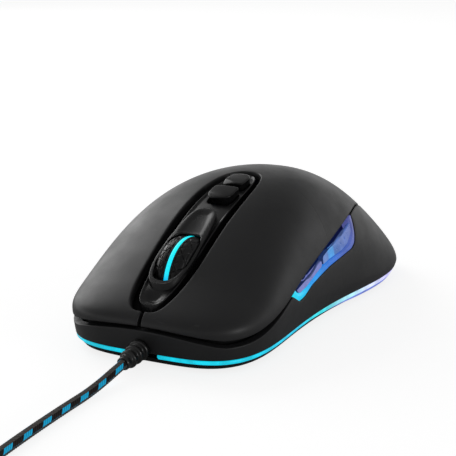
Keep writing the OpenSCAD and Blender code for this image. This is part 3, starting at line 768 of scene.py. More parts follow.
def button_patch(side):
    rows = np.linspace(0, 1, ROWS)
    xc = CENTRE_X + 0.3
    # the lip, from the middle of the nose to the hinge
    a_nose = -0.5 * math.pi + (xc / float(half_width(-HALF + 0.1, side))) ** (NOSE_POWER / 2)
    a = lip_angles(a_nose, -1e-7)
    a = a if side > 0 else math.pi - a
    v = meet_v(a, 0.0, lip_height)
    lip = skin(a, v)
    keep = lip[:, 1] < HINGE_Y - 0.3
    a, v, lip = a[keep], v[keep], lip[keep]
    count = 150
    s = arc(lip)
    at = np.linspace(0, 1, count) * s[-1]
    a_at, v_at = np.interp(at, s, a), np.interp(at, s, v)
    # the slot's edge, from its tip to the hinge
    edge = slot_edge(LIP_R)
    half = edge[(edge[:, 0] * side > xc) & (edge[:, 1] < HINGE_Y - 0.2)]
    half = half[np.argsort(np.arctan2(half[:, 1] + 31, np.abs(half[:, 0])))]
    tip = np.array([[side * xc, half[:, 1].min()]])
    half = np.vstack([tip, half])
    inner = resample(half, np.linspace(0, 1, count) ** 1.35)
    columns = [resample(skin_path(skin(a_at[j], v_at[j]), inner[j], a_at[j], v_at[j]), rows)
               for j in range(count)]
    columns.append(hinge_column(side, rows))
    grid = np.stack(columns, 1)
    faces = grid_faces(ROWS, count + 1)
    return grid.reshape(-1, 3), (faces if side > 0 else flip(faces))


def palm_patch():
    rows = np.linspace(0, 1, ROWS)
    a = lip_angles(-0.02, 0.5 * math.pi)
    a = np.concatenate([a, (math.pi - a)[::-1][1:]])
    v = meet_v(a, 0.0, lip_height)
    lip = skin(a, v)
    keep = lip[:, 1] > HINGE_Y + 0.5
    a, v, lip = a[keep], v[keep], lip[keep]
    count = 250
    s = arc(lip)
    at = np.linspace(0, 1, count) * s[-1]
    a_at, v_at = np.interp(at, s, a), np.interp(at, s, v)
    edge = slot_edge(LIP_R)
    rear = edge[edge[:, 1] > HINGE_Y + 0.1]
    rear = rear[np.argsort(-rear[:, 0])]
    inner = resample(rear, np.linspace(0, 1, count))
    columns = [hinge_column(1, rows)]
    columns += [resample(skin_path(skin(a_at[j], v_at[j]), inner[j], a_at[j], v_at[j]), rows)
                for j in range(count)]
    columns.append(hinge_column(-1, rows))
    grid = np.stack(columns, 1)
    return grid.reshape(-1, 3), grid_faces(ROWS, count + 2)


def skin_radius(p):
    """The skins' edges are rounded, except where the buttons run on into the palm."""
    return 0.012 if abs(p[1] - HINGE_Y) < 0.02 else (0.3 if p[1] < -60 and abs(p[0]) < 1.2 else LIP_R)


points, faces = palm_patch()
palm = skin_piece("palm_skin", points, faces, soft_touch, skin_radius, body="root", replaces=["top_cover"],
                  slot="soft_touch_black")
for side, body in ((1, "left_button"), (-1, "right_button")):
    points, faces = button_patch(side)
    piece = skin_piece(body + "_skin", points, faces, soft_touch, skin_radius, replaces=[body],
                       slot="soft_touch_black")
    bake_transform(piece)

# ---- side frame ----
NOTCH = np.array([[-31.6, 13.6], [-31, 13.3], [-26.7, 10.9], [-25.4, 10.75], [-22.7, 11.2], [-17.7, 12.9],
                  [-10.9, 14.1], [-5.3, 15.1], [2, 15.9], [9.7, 16.9], [12.0, 18.1], [13.6, 20.0],
                  [15.2, 22.9], [16.4, 25.6], [17, 27.5]])


def notch_height(y):
    """Lower edge of the window in the thumb side."""
    return np.interp(y, NOTCH[:, 0], NOTCH[:, 1], left=99, right=99)


def frame_top(x, y):
    return np.where(x > 0, np.minimum(seam(x, y), notch_height(y)), seam(x, y)) - 0.25


def frame_patch(rows=24):
    a = lip_angles(-0.5 * math.pi, 0.5 * math.pi)
    a = np.concatenate([a, (math.pi - a)[::-1][1:-1]])
    rim = skin(a, -0.4)
    density = np.where((rim[:, 0] > 0) & (np.abs(rim[:, 1] + 7) < 26), 2.6, 1.0)
    step = np.linalg.norm(np.diff(np.vstack([rim, rim[:1]]), axis=0), axis=1) * density
    s = np.concatenate([[0], np.cumsum(step)])
    count = 470
    at = np.arange(count) / count * s[-1]
    a = np.interp(at, s, np.append(a, 1.5 * math.pi))
    low = level(a, 3.7 + 0.2)
    high = meet_v(a, 0.0, frame_top)
    return np.stack([skin(a, mix(low, high, f)) for f in np.linspace(0, 1, rows)], 0), a


grid, _ = frame_patch()
verts, quads = shell(grid.reshape(-1, 3), grid_faces(grid.shape[0], grid.shape[1], True), SKIN_T, 0.25)
make("side_wall", verts, quads, soft_touch, "root", ["side_frame"], "soft_touch_black")


def band_patch(a, low_z, top, inset, rows=8):
    low = level(a, low_z, inset)
    high = meet_v(a, inset, top)
    return np.stack([skin(a, mix(low, high, f), inset) for f in np.linspace(0, 1, rows)], 0)


def angles_between(a_low, a_high, count):
    a = np.linspace(a_low, a_high, 3000)
    s = arc(skin(a, 0.0))
    return np.interp(np.linspace(0, 1, count) * s[-1], s, a)


nose_a = angles_between(-math.pi + 0.26, -0.26, 130)
grid = band_patch(nose_a, 4.4, lambda x, y: seam(x, y) + gap(x, y) + 0.9, 2.7)
verts, quads = shell(grid.reshape(-1, 3), grid_faces(grid.shape[0], grid.shape[1]), 1.0, 0.1)
make("nose_inner_wall", verts, quads, inner_black, "root", slot="base_black")

# ---- light ring ----
ring_angles = []
for lo, hi in ((-0.5 * math.pi, 1.5 * math.pi),):
    a = np.linspace(lo, hi, 20001)
    p = skin(a, -1.0)
    use = ~((p[:, 1] < 0) & (np.abs(p[:, 0]) < 4.5))
    a = a[use]
    s = arc(p[use])
    ring_angles = np.interp(np.linspace(0, 1, 420) * s[-1], s, a)
# the strip's lower edge rises at the nose and hangs down at the tail: (inset, height, share of that)
drop = mix(-0.3, 1.15, ease((skin(ring_angles, -1.0)[:, 1] + 25) / 45))
SECTION = [(1.4, RING_Z[0], 0), (0.5, RING_Z[0], 0), (0.42, RING_Z[0], 1), (0.2, RING_Z[0] + 0.12, 1), (0.08, 2.75, 0.6),
           (0.05, 3.0, 0), (0.08, 3.25, 0), (0.2, RING_Z[1] - 0.12, 0), (0.45, RING_Z[1], 0), (1.4, RING_Z[1], 0)]
rings = np.stack([skin(ring_angles, level(ring_angles, z - part * drop, i), i) for i, z, part in SECTION], 1)
n_ring, n_sec = rings.shape[:2]
faces = []
for i in range(n_ring - 1):
    for k in range(n_sec):
        m = (k + 1) % n_sec
        faces.append((i * n_sec + k, (i + 1) * n_sec + k, (i + 1) * n_sec + m, i * n_sec + m))
faces.append(tuple(range(n_sec)))
faces.append(tuple(reversed(range((n_ring - 1) * n_sec, n_ring * n_sec))))
make("rim_light", rings.reshape(-1, 3), faces, rim_glow, "root", ["light_ring"], "rim_diffuser", sharp=50)


# ---- base ----
def base_loft():
    a = angles_between(-math.pi, math.pi, 361)[:-1]
    rings = []
    for z, inset in ((FLOOR_Z, 2.9), (FLOOR_Z, 2.55), (0.78, 2.25), (1.1, 1.6), (1.7, 1.15), (2.2, 0.92), (FLOOR_TOP, 0.95),
                     (FLOOR_TOP, 1.2)):
        p = skin(a, level(a, 3.0, inset), inset)
        p[:, 2] = z
        rings.append(p)
    n = len(a)
    verts = np.vstack(rings)
    faces = grid_faces(len(rings), n, True)
    faces.append(tuple(reversed(range(n))))
    faces.append(tuple(range((len(rings) - 1) * n, len(rings) * n)))
    return verts, faces


def foot_outline(ends, grow=0.0):
    mid, r = (ends[0] + ends[1]) / 2, (ends[1] - ends[0]) / 2 + grow
    t = np.linspace(-0.5 * math.pi, 0.5 * math.pi, 24)
    right = np.stack([FOOT_REACH + r * np.cos(t), mid + r * np.sin(t)], -1)
    return np.vstack([right, -right + [0, 2 * mid]])


def prism(outline, z0, z1):
    n = len(outline)
    verts = np.vstack([np.column_stack([outline, np.full(n, z0)]), np.column_stack([outline, np.full(n, z1)])])
    faces = grid_faces(2, n, True)
    faces.append(tuple(reversed(range(n))))
    faces.append(tuple(range(n, 2 * n)))
    return verts, faces


def circle(x, y, r, n=48):
    t = np.arange(n) * TAU / n
    return np.stack([x + r * np.cos(t), y + r * np.sin(t)], -1)


def carve(target, cutters):
    """Cuts the cutters out of an object and keeps the result as its mesh."""
    tools = []
    for i, (verts, faces) in enumerate(cutters):
        tool = make("cutter_%d" % i, verts, faces, target.data.materials[0])
        tools.append(tool)
        m = target.modifiers.new("cut_%d" % i, "BOOLEAN")
        m.operation = "DIFFERENCE"
        m.solver = "EXACT"
        m.object = tool
    bpy.context.view_layer.update()
    evaluated = target.evaluated_get(bpy.context.evaluated_depsgraph_get())
    mesh = bpy.data.meshes.new_from_object(evaluated)
    target.modifiers.clear()
    target.data = mesh
    for tool in tools:
        bpy.data.objects.remove(tool)
    mesh.set_sharp_from_angle(angle=math.radians(35))


base = make("base_tray", *base_loft(), base_black)
cutters = [prism(foot_outline(ends, 0.15), -1, 0.9) for ends in (FRONT_FOOT, REAR_FOOT)]
for x, y in FRONT_SCREWS + REAR_SCREWS:
    cutters.append(prism(circle(x, y, 2.3), -1, 1.7))
    cutters.append(prism(circle(x, y, 1.2), -2, 8))
groove_in, groove_out = FOOT_RING[0] - 0.15, FOOT_RING[1] + 0.15
cutters.append(revolve([(groove_in, -1), (groove_out, -1), (groove_out, 0.9), (groove_in, 0.9)], 96))
lens_hole = close_loop([(-4, -3.5), (4, -3.5), (4, 3.5), (-4, 3.5)], 0.25, 6)
cutters.append(prism(lens_hole, -1, 6))
carve(base, cutters)
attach(base, "root")
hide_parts("bottom_case")

# ---- feet ----
FEET = {"front_foot": (close_loop(foot_outline(FRONT_FOOT, -0.3), 0.6), []),
        "rear_foot": (close_loop(foot_outline(REAR_FOOT, -0.3), 0.6), []),
        "sensor_foot": (circle(0, 0, FOOT_RING[1] - 0.3, 96), [circle(0, 0, FOOT_RING[0] + 0.3, 72)])}
for name, (outline, holes) in FEET.items():
    flat, faces = fill(outline, holes, 1.0)
    verts = np.column_stack([flat, np.zeros(len(flat))])
    verts, faces = shell(verts, flip(faces), 0.9, 0.3)
    make(name + "_pad", verts, faces, slider, "root", [name], "ptfe")


# ---- centre trim: the plate in the slot, and the pod round the wheel ----
def oval(mid, half, powers, spacing=0.3):
    """Closed outline round mid, with its own squareness at the front and rear."""
    t = np.linspace(-0.5 * math.pi, 1.5 * math.pi, 2000, endpoint=False)
    p = np.where(np.sin(t) < 0, powers[0], powers[1])
    r = (np.abs(np.sin(t)) ** p + np.abs(np.cos(t)) ** p) ** (-1 / p)
    return close_loop(np.stack([mid[0] + half[0] * r * np.cos(t), mid[1] + half[1] * r * np.sin(t)], -1), spacing)


def draped(outline, holes, depth, thickness, radius, spacing=0.45, upright=False):
    """Closed solid over an outline in plan, its top sunk under the skin by depth(points)."""
    flat, faces = fill(outline, holes, spacing)
    z = top_z(flat[:, 0], flat[:, 1]) - depth(flat)
    normals = np.tile([0.0, 0.0, 1.0], (len(flat), 1)) if upright else None
    return shell(np.column_stack([flat, z]), faces, thickness, radius, normals=normals)


def slot_loop(ends, inset, front=3.7, rear=2.85, spacing=0.3):
    t = np.linspace(-0.5 * math.pi, 1.5 * math.pi, 3000, endpoint=False)
    return close_loop(slot_pt(t, ends, inset, front, rear), spacing)


WHEEL_OPEN = oval((0, -44.05), (4.45, 8.15), (2.6, 4.2))
DPI_FRONT = dict(mid=(0.25, DPI_Y[0] + 0.6), half=(3.65, 3.25), powers=(3.2, 14))
DPI_REAR = dict(mid=(0.3, DPI_Y[1] + 0.5), half=(3.2, 3.6), powers=(9, 2.4))


def key_outline(key, grow):
    return oval(key["mid"], (key["half"][0] + grow, key["half"][1] + grow), key["powers"])


front_well = key_outline(DPI_FRONT, 0.3)
rear_well = key_outline(DPI_REAR, 0.3)
plate_outline = slot_loop([TRIM_Y[0] - 0.5, TRIM_Y[1] + 0.4], 2.35)


def plate_depth(p):
    """The plate is a shallow tray with a raised rim, and has a valley in front of the wheel."""
    edge = outline_distance(p, plate_outline)
    front = ease((-50 - p[:, 1]) / 4)
    rim = mix(0.6, 0.4, front) * (1 - ease((edge - 0.12) / 0.3))
    valley = 1.0 * np.clip(1 - np.abs(p[:, 0] / 4.9) ** 1.6, 0, 1) * ease((edge - 0.2) / 2.6) * ease((-53 - p[:, 1]) / 3)
    return mix(1.3, 1.1, front) - rim + valley


plate_hole = oval((0, -42.5), (4.7, 10.2), (2.6, 3.4))
verts, faces = draped(plate_outline, [plate_hole, front_well, rear_well], plate_depth, 2.0, 0.2, 0.32, upright=True)
make("trim_plate", verts, faces, satin, "root", ["center_trim"], "satin_black", sharp=50)


def pod_loop():
    """Outline of the pod: widest round the wheel, and narrower along its tongue."""
    t = np.linspace(-0.5 * math.pi, 1.5 * math.pi, 3000, endpoint=False)
    mid, half = (POD_Y[0] + POD_Y[1]) / 2, (POD_Y[1] - POD_Y[0]) / 2 - 0.2
    p = np.where(np.sin(t) < 0, 2.7, 4.0)
    r = (np.abs(np.sin(t)) ** p + np.abs(np.cos(t)) ** p) ** (-1 / p)
    y = mid + half * r * np.sin(t)
    w = np.interp(y, [-53.4, -45, -37, -30, -26.5], [5.3, 5.3, 4.8, 4.15, 4.0])
    return close_loop(np.stack([w * r * np.cos(t), y], -1), 0.3)


pod_outline = pod_loop()


def pod_depth(p):
    """The pod stands proud of the skin round the wheel, and its tongue is dished."""
    edge = outline_distance(p, pod_outline)
    behind = ease((p[:, 1] + 40) / 5)
    dish = 0.55 * np.clip(1 - (p[:, 0] / 4.0) ** 2, 0, 1) * behind * ease((edge - 0.1) / 2.2)
    return -0.5 + 0.3 * behind + dish


verts, faces = draped(pod_outline, [WHEEL_OPEN], pod_depth, 3.8, 0.2, 0.25, upright=True)
pod = make("wheel_pod", verts, faces, satin, slot="satin_black", sharp=50)

# trough under the slot, so that nothing bright shows through the channel
trough = slot_loop([SLOT_Y[0] + 0.6, SLOT_Y[1] + 1.8], -1.6, spacing=0.6)
verts, faces = draped(trough, [oval((0, -40.9), (5.2, 11.2), (3, 3.4), 0.5), front_well, rear_well],
                      lambda p: np.full(len(p), 3.7), 0.9, 0.1, 0.9)
make("slot_floor", verts, faces, inner_black, "root", slot="base_black")


# ---- keys behind the wheel ----
def key_cap(key, lift, fall):
    """Key with a crowned top that stands lift above the skin and falls away by fall at its front."""
    radius = 0.35
    outline = key_outline(key, -radius)
    flat, faces = fill(outline, [], 0.3)
    x, y = flat[:, 0] - key["mid"][0], flat[:, 1] - key["mid"][1]
    corner = np.maximum(0, -0.5 * x / key["half"][0] - y / key["half"][1] - 0.75)
    depth = 0.012 * x ** 2 - lift + fall * np.maximum(0, -y) ** 2 + 1.6 * corner ** 1.5
    z = top_z(np.zeros(len(flat)), flat[:, 1]) - depth
    return shell(np.column_stack([flat, z]), faces, 3.6, radius, steps=6)


verts, faces = key_cap(DPI_FRONT, 0.95, 0.02)
make("dpi_front_cap", verts, faces, gloss_key, "dpi_front", ["dpi_front_button"], "satin_black", sharp=60)
verts, faces = key_cap(DPI_REAR, 0.8, 0.01)
make("dpi_rear_cap", verts, faces, gloss_key, "dpi_rear", ["dpi_rear_button"], "satin_black", sharp=60)


# ---- wheel ----
def on_axle(p):
    """From wheel coordinates (along the axle, radius, angle) to the frame."""
    x, r, t = p
    return np.stack([x + 0 * t, WHEEL_Y + r * np.cos(t), WHEEL_Z + r * np.sin(t)], -1)


def wheel_ring(profile, sides, height=None):
    """Closed ring round the axle from (x, radius) points; height(x, angle) is cut from its tread."""
    prof = np.asarray(profile, float)
    t = np.arange(sides) * TAU / sides
    x = np.repeat(prof[:, None, 0], sides, 1)
    r = np.repeat(prof[:, None, 1], sides, 1)
    angle = np.repeat(t[None], len(prof), 0)
    if height is not None:
        r = r - height(x, angle, r)
    pts = on_axle((x, r, angle)).reshape(-1, 3)
    faces = grid_faces(len(prof), sides, True)
    last = (len(prof) - 1) * sides
    faces += [(last + j, last + (j + 1) % sides, (j + 1) % sides, j) for j in range(sides)]
    return pts, faces


TREADS = 30


def groove(phase, width):
    f = np.abs(phase - np.round(phase))
    return 1 - ease((f - width * 0.4) / (width * 0.6))


def tread(x, angle, r):
    """Arrow-shaped cuts across the tyre."""
    turn = angle / TAU * TREADS
    s = (np.abs(x) - BAND_HALF) / (WHEEL_HALF - BAND_HALF)
    cut = np.maximum(groove(turn + 0.9 * s, 0.13), groove(turn * 0.5 - 1.1 * s + 0.25, 0.07))
    rib = groove(np.full_like(s, 1) * (s - 0.52) * 3 + 0 * turn, 0.12) * (groove(turn * 0.5, 0.9) > 0.3)
    fade = ease(s / 0.08) * ease((1.0 - s) / 0.12) * (r > HUB_R + 1.2)
    return 0.3 * np.maximum(cut, 0.7 * rib) * fade


for side, name in ((1, "tyre_left"), (-1, "tyre_right")):
    s = np.linspace(0, 1, 34)
    crown_line = np.column_stack([BAND_HALF + 0.03 + s * (WHEEL_HALF - BAND_HALF - 0.35),
                                  WHEEL_R - 0.95 * s**3.2])
    corner = [(WHEEL_HALF - 0.18, WHEEL_R - 1.15), (WHEEL_HALF - 0.04, WHEEL_R - 1.4), (WHEEL_HALF, WHEEL_R - 1.7)]
    profile = np.vstack([[(BAND_HALF + 0.03, HUB_R), (BAND_HALF + 0.03, WHEEL_R - 0.25)], crown_line, corner,
                         [(WHEEL_HALF, HUB_R + 0.6), (WHEEL_HALF - 0.3, HUB_R)]])
    profile[:, 0] *= side
    verts, faces = wheel_ring(profile, 960, tread)
    make("wheel_" + name, verts, faces if side < 0 else flip(faces), rubber, "wheel", [name], "tyre_rubber",
         sharp=60)
band = [(-BAND_HALF, HUB_R), (-BAND_HALF, WHEEL_R - 0.2), (-0.5, WHEEL_R - 0.05), (-0.25, WHEEL_R + 0.02),
        (0.25, WHEEL_R + 0.02), (0.5, WHEEL_R - 0.05), (BAND_HALF, WHEEL_R - 0.2), (BAND_HALF, HUB_R)]
verts, faces = wheel_ring(band, 240)
make("wheel_band", verts, flip(faces), wheel_glow, "wheel", ["wheel_light_ring"], "wheel_diffuser", sharp=50)

# room for the wheel under the pod
ROOM = [(-4.65, 1), (-4.65, 11.0), (-4.2, 11.6), (-3.2, 12.1), (-1.6, 12.35), (1.6, 12.35), (3.2, 12.1), (4.2, 11.6),
        (4.65, 11.0), (4.65, 1)]
verts, faces = wheel_ring(ROOM, 180)
carve(pod, [(verts, faces)])
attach(pod, "root")

# ---- thumb side panel ----
BEZEL_OUT = [(-30.6, 13.25), (-29.0, 12.3), (-27.2, 11.3), (-26.2, 11.05), (-24.4, 11.2), (-22.7, 11.45),
             (-17.7, 13.1), (-10.9, 14.35), (-5.3, 15.35), (2, 16.15), (9.2, 17.05), (11.6, 18.1),
             (13.2, 20.1), (14.8, 23.0), (15.75, 24.9)]
BEZEL_IN = [(-28.6, 14.35), (-28.1, 13.9), (-27.6, 13.45), (-26.7, 12.9), (-25.7, 12.6), (-24.0, 12.6),
            (-20.9, 13.0), (-15.6, 14.45), (-9.6, 15.85), (-5.0, 16.6), (3.3, 17.25), (7.9, 18.25),
            (12.0, 20.7), (13.1, 22.9), (13.4, 24.3)]


def smooth_line(points, spacing, passes):
    """Even points along an open line, its corners softened."""
    pts = np.asarray(points, float)
    n = int(arc(pts)[-1] / spacing)
    out = resample(pts, np.linspace(0, 1, n))
    for _ in range(passes):
        out[1:-1] = (out[:-2] + 2 * out[1:-1] + out[2:]) / 4
    return out


def side_patch(flat, faces, depth):
    p, _ = side_point(flat[:, 0], flat[:, 1], depth)
    return p, faces


outer_line = smooth_line(BEZEL_OUT, 0.3, 3)
inner_line = smooth_line(BEZEL_IN, 0.3, 3)
across, count = 9, 170
# both lines are cut at matching places, so that the strip's rungs run square across it
keys = np.linspace(0, 1, len(BEZEL_OUT))
out_at = np.interp(np.linspace(0, 1, count), keys, arc(np.array(BEZEL_OUT)) / arc(np.array(BEZEL_OUT))[-1])
in_at = np.interp(np.linspace(0, 1, count), keys, arc(np.array(BEZEL_IN)) / arc(np.array(BEZEL_IN))[-1])
o_line, i_line = resample(outer_line, out_at), resample(inner_line, in_at)
strip = np.stack([mix(o_line, i_line, f) for f in np.linspace(0, 1, across)], 0)
flat = strip.reshape(-1, 2)
rung = np.repeat(np.linspace(0, 1, across), count)
depth = 0.15 + 0.25 * ease((rung - 0.55) / 0.45)
p, faces = side_patch(flat, grid_faces(across, count), depth)
verts, faces = shell(p, faces, 2.6, 0.18)
make("panel_bezel", verts, faces, bezel_glow, "root", ["side_bezel"], "panel_diffuser", sharp=45)

tray = np.vstack([smooth_line(BEZEL_OUT, 0.6, 2), [(14.6, 25.2), (11.3, 24.9), (1.9, 22.9), (-9.1, 20.0), (-19.9, 17.0),
                                                   (-27, 15.1), (-30.4, 14.0)]])
flat, faces = fill(close_loop(tray, 0.6), [], 0.9)
p, faces = side_patch(flat, faces, 3.1)
verts, faces = shell(p, faces, 0.8, 0.1)
make("panel_tray", verts, faces, tray_blue, "root", slot="panel_diffuser")

FRONT_KEY = [(-27.3, 13.95), (-26.4, 13.2), (-25.4, 12.95), (-21, 13.5), (-15.6, 14.95), (-10.4, 16.2), (-10.0, 16.6),
             (-10.1, 17.8), (-10.6, 18.0), (-18, 15.75), (-22.5, 14.75)]
REAR_KEY = [(-8.9, 16.6), (-5.2, 17.15), (3.3, 17.75), (7.8, 18.8), (11.6, 21.0), (12.7, 22.8), (12.6, 23.5),
            (7, 22.35), (-1, 20.35), (-8.2, 18.45), (-8.7, 17.9)]


def panel_key(outline, crease, dots):
    """Key with a flat lower face, a facet leaning in above a crease, and a row of small dots."""
    loop = close_loop(outline, 0.16, 2)
    flat, faces = fill(loop, [], 0.2)
    y, z = flat[:, 0], flat[:, 1]
    line = np.interp(y, [c[0] for c in crease], [c[1] for c in crease])
    lean = np.maximum(0, z - line)
    depth = 0.25 + 0.55 * ease(lean / 0.5) * np.minimum(1, lean) + 0.35 * lean
    for dy, dz in dots:
        d = np.hypot(y - dy, z - dz)
        depth = depth + 0.16 * (1 - ease((d - 0.18) / 0.12))
    p, faces = side_patch(flat, faces, depth)
    return shell(p, faces, 1.5, 0.12)


verts, faces = panel_key(FRONT_KEY, [(-28, 14.35), (-20, 15.05), (-9.5, 17.6)],
                         [(-23.8, 13.6), (-20.6, 14.3), (-17.6, 15.0)])
make("side_front_key", verts, faces, key_glow, "side_front", ["side_front_button"], "panel_key", sharp=50)
verts, faces = panel_key(REAR_KEY, [(-9, 18.9), (-3, 19.65), (4, 21.0), (9, 22.3), (13, 23.4)],
                         [(0.6, 18.7), (3.6, 19.5), (6.6, 20.4)])
make("side_rear_key", verts, faces, key_glow, "side_rear", ["side_rear_button"], "panel_key", sharp=50)

# ---- cable and its boot ----
BEND_Y = EXIT_Y - 17.5
DESK_Y = BEND_Y - 2 * (CABLE_Z - EXIT_SLOPE * 17.5 - CABLE_R - 0.02) / EXIT_SLOPE


def cable_centre(y):
    t = np.clip((y - DESK_Y) / (BEND_Y - DESK_Y), 0, 1)
    low = CABLE_R + 0.02 + EXIT_SLOPE * (BEND_Y - DESK_Y) / 2 * t * t
    z = np.where(y > BEND_Y, CABLE_Z + EXIT_SLOPE * (y - EXIT_Y), low)
    return np.stack([0.001 * np.minimum(y + 74, 0) ** 2, y, z], -1)


def braid_height(turn, run):
    """Height of the yarns over a place round and along the cable, from 0 to 1."""
    p, q = YARNS * turn + run * YARNS / CHECK, YARNS * turn - run * YARNS / CHECK
    over = ((turn * TRACKS + TRACK_TURN) % 1) < 0.46
    a = np.abs(np.sin(math.pi * p))
    b = np.abs(np.sin(math.pi * q))
    return np.where(over, a, b) ** 0.7


def braid():
    y = np.linspace(-57, CABLE_END_Y, 4000)
    line = cable_centre(y)
    s = arc(line)
    n = int(s[-1] / 0.13)
    run = np.linspace(0, s[-1], n)
    centre = np.stack([np.interp(run, s, line[:, k]) for k in range(3)], -1)
    tangent = np.gradient(centre, axis=0)
    tangent /= np.linalg.norm(tangent, axis=1, keepdims=True)
    u = np.cross([0, 0, 1], tangent)
    u /= np.linalg.norm(u, axis=1, keepdims=True)
    w = np.cross(tangent, u)
    sides = 54
    turn = np.arange(sides) / sides
    r = CABLE_R - 0.1 + 0.1 * braid_height(turn[None] + 0 * run[:, None], run[:, None])
    r[0], r[-1] = CABLE_R - 0.1, CABLE_R - 0.1
    cos, sin = np.cos(TAU * turn), np.sin(TAU * turn)
    pts = centre[:, None] + r[..., None] * (cos[None, :, None] * u[:, None] + sin[None, :, None] * w[:, None])
    faces = grid_faces(n, sides, True)
    faces.append(tuple(reversed(range(sides))))
    faces.append(tuple(range((n - 1) * sides, n * sides)))
    uv = np.stack([np.repeat(run[:, None], sides, 1), np.repeat(turn[None], n, 0)], -1).reshape(-1, 2)
    return pts.reshape(-1, 3), faces, uv


verts, faces, uv = braid()
make("braided_cable", verts, faces, braid_cloth, "root", ["cable"], "braid", sharp=80, uv=uv)

BOOT_RIBS = 3
profile = [(CABLE_R + 0.05, 5.2), (2.6, 5.2), (2.7, 5.1), (2.7, 4.2), (2.6, 4.1), (2.2, 4.1), (2.2, 0.0)]
for i in range(BOOT_RIBS):
    rim, waist, z = 2.75 - 0.2 * i, 1.8 - 0.06 * i, -2.4 * i
    half_turn = np.linspace(0.5 * math.pi, -0.5 * math.pi, 9)
    profile += [(rim - 0.35 + 0.35 * math.cos(t) ** 0.8 if abs(t) < 1.57 else rim - 0.35, z - 0.7 + 0.55 * math.sin(t))
                for t in half_turn]
    profile += [(waist + 0.1, z - 1.35), (waist, z - 1.5), (waist, z - 2.3)]
profile += [(1.72, -7.5), (1.7, -8.1), (1.6, -8.25), (CABLE_R + 0.05, -8.25)]
verts, faces = revolve(profile, 96)
tilt = -0.5 * math.pi + math.atan(EXIT_SLOPE)
c, s = math.cos(tilt), math.sin(tilt)
verts = verts @ np.array([[1, 0, 0], [0, c, -s], [0, s, c]]).T + cable_centre(np.array(-HALF + 0.6))
make("strain_boot", verts, flip(faces), boot_rubber, "root", ["cable_boot"], "boot_rubber", sharp=50)

# ---- looks of the carried-over CAD nodes ----
NODE_LOOKS = {
    "wheel_hub": hub_plastic, "wheel_axle": steel, "encoder_rotor": ivory, "encoder_body": blue_case,
    "axle_saddle": base_black, "wheel_bracket": base_black, "main_pcb": board, "side_pcb": board,
    "dpi_pcb": board, "left_switch": switch_case, "right_switch": switch_case, "middle_switch": switch_case,
    "side_switches": switch_case, "dpi_switches": switch_case, "left_plunger": ivory, "right_plunger": ivory,
    "middle_plunger": ivory, "side_front_plunger": ivory, "side_rear_plunger": ivory,
    "dpi_front_plunger": ivory, "dpi_rear_plunger": ivory, "sensor_chip": switch_case,
    "sensor_lens": lens, "controller_chip": switch_case, "rim_leds": led, "wheel_led": led, "side_leds": led,
    "cable_connector": ivory, "cable_wires": wire, "case_screws": steel, "pcb_screws": steel}
for node, look in NODE_LOOKS.items():
    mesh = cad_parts[node].data
    mesh.materials.clear()
    mesh.materials.append(look)
    mesh.set_sharp_from_angle(angle=math.radians(30))

# ---- camera, light and floor ----
scene = bpy.context.scene
target = Vector((-13.01, 10.97, 18.0)) * MM
camera = bpy.data.objects.new("camera", bpy.data.cameras.new("camera"))
scene.collection.objects.link(camera)
camera.data.sensor_width = 36
camera.data.lens = 96.28
camera.data.clip_start = 0.01
camera.location = Vector((148.02, -306.38, 104.25)) * MM
camera.rotation_euler = (target - camera.location).to_track_quat("-Z", "Y").to_euler()
scene.camera = camera

FLOOR_LIFT = 0.82    # share of the floor's brightness that its shadows don't darken
FLOOR_SHARE = 0.40   # how strongly the light on the floor adds to that
floor_m = Nodes("floor")
seen = floor_m.add("ShaderNodeLightPath").outputs["Is Camera Ray"]
cloud = floor_m.remap(floor_m.noise(3.0, 2), 0.3, 0.7, 0.97, 1.0)
tone = floor_m.math("MULTIPLY", cloud, floor_m.remap(seen, 0, 1, 0.7, FLOOR_SHARE, smooth=False))
floor_m.set(Base_Color=floor_m.blend(tone, (0, 0, 0), (1, 1, 1)), Roughness=0.7, Specular_IOR_Level=0.0,
            Emission_Color=(1, 1, 1, 1), Emission_Strength=floor_m.math("MULTIPLY", seen, FLOOR_LIFT))
floor = make("floor", [(-6000, -6000, 0), (6000, -6000, 0), (6000, 6000, 0), (-6000, 6000, 0)], [(0, 1, 2, 3)],
             floor_m.material)



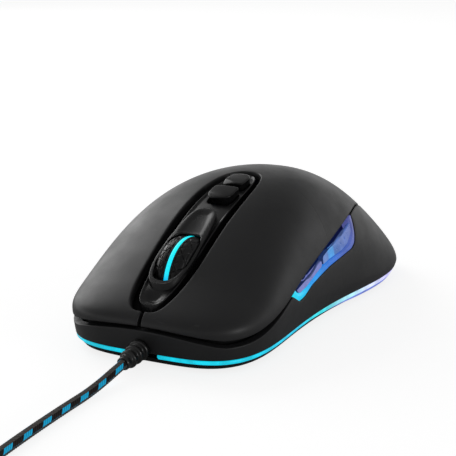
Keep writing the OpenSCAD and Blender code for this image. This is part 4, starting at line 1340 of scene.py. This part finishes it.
def studio_world():
    """White to the camera; to the object, brighter low down at the back and the left than overhead and in front."""
    world = bpy.data.worlds.new("studio")
    world.use_nodes = True
    tree = world.node_tree
    background = tree.nodes["Background"]

    def link(kind, values, **settings):
        node = tree.nodes.new(kind)
        for k, v in settings.items():
            setattr(node, k, v)
        for k, v in values.items():
            if isinstance(v, bpy.types.NodeSocket):
                tree.links.new(v, node.inputs[k])
            else:
                node.inputs[k].default_value = v
        return node.outputs

    way = link("ShaderNodeSeparateXYZ", {0: link("ShaderNodeTexCoord", {})["Generated"]})
    low = link("ShaderNodeMapRange", {0: way["Z"], 1: 0.1, 2: 0.42, 3: 1.0, 4: 0.0}, interpolation_type="SMOOTHSTEP")[0]
    lean = link("ShaderNodeMath", {0: way["X"], 1: -0.8, 2: 0.0}, operation="MULTIPLY_ADD")[0]
    lean = link("ShaderNodeMath", {0: way["Y"], 1: 0.6, 2: lean}, operation="MULTIPLY_ADD")[0]
    left = link("ShaderNodeMapRange", {0: lean, 1: -0.6, 2: 1.0, 3: 0.25, 4: 1.0}, interpolation_type="SMOOTHSTEP")[0]
    glow = link("ShaderNodeMath", {0: low, 1: left}, operation="MULTIPLY")[0]
    level = link("ShaderNodeMath", {0: glow, 1: SKY_LOW - SKY_HIGH, 2: SKY_HIGH}, operation="MULTIPLY_ADD")[0]
    seen = link("ShaderNodeLightPath", {})["Is Camera Ray"]
    strength = link("ShaderNodeMix", {0: seen, 2: level, 3: 1.0})[0]
    background.inputs[0].default_value = (1, 1, 1, 1)
    tree.links.new(strength, background.inputs[1])
    scene.world = world


SKY_LOW = 1.5     # brightness of the sky low down at the back left
SKY_HIGH = 0.28    # brightness of the sky overhead
studio_world()


def soft_box(name, place, aim, size, power):
    light = bpy.data.lights.new(name, "AREA")
    light.shape = "RECTANGLE"
    light.size, light.size_y = size
    light.energy = power
    o = bpy.data.objects.new(name, light)
    scene.collection.objects.link(o)
    o.location = place
    o.rotation_euler = (Vector(aim) - o.location).to_track_quat("-Z", "Y").to_euler()
    return o


soft_box("left_light", (-1.0, 0.45, 0.6), (0, 0, 0), (0.8, 0.8), 4.8)
soft_box("right_light", (1.3, -0.2, 0.22), (0, 0, 0.02), (0.5, 0.3), 3)
scene.view_settings.view_transform = "Standard"
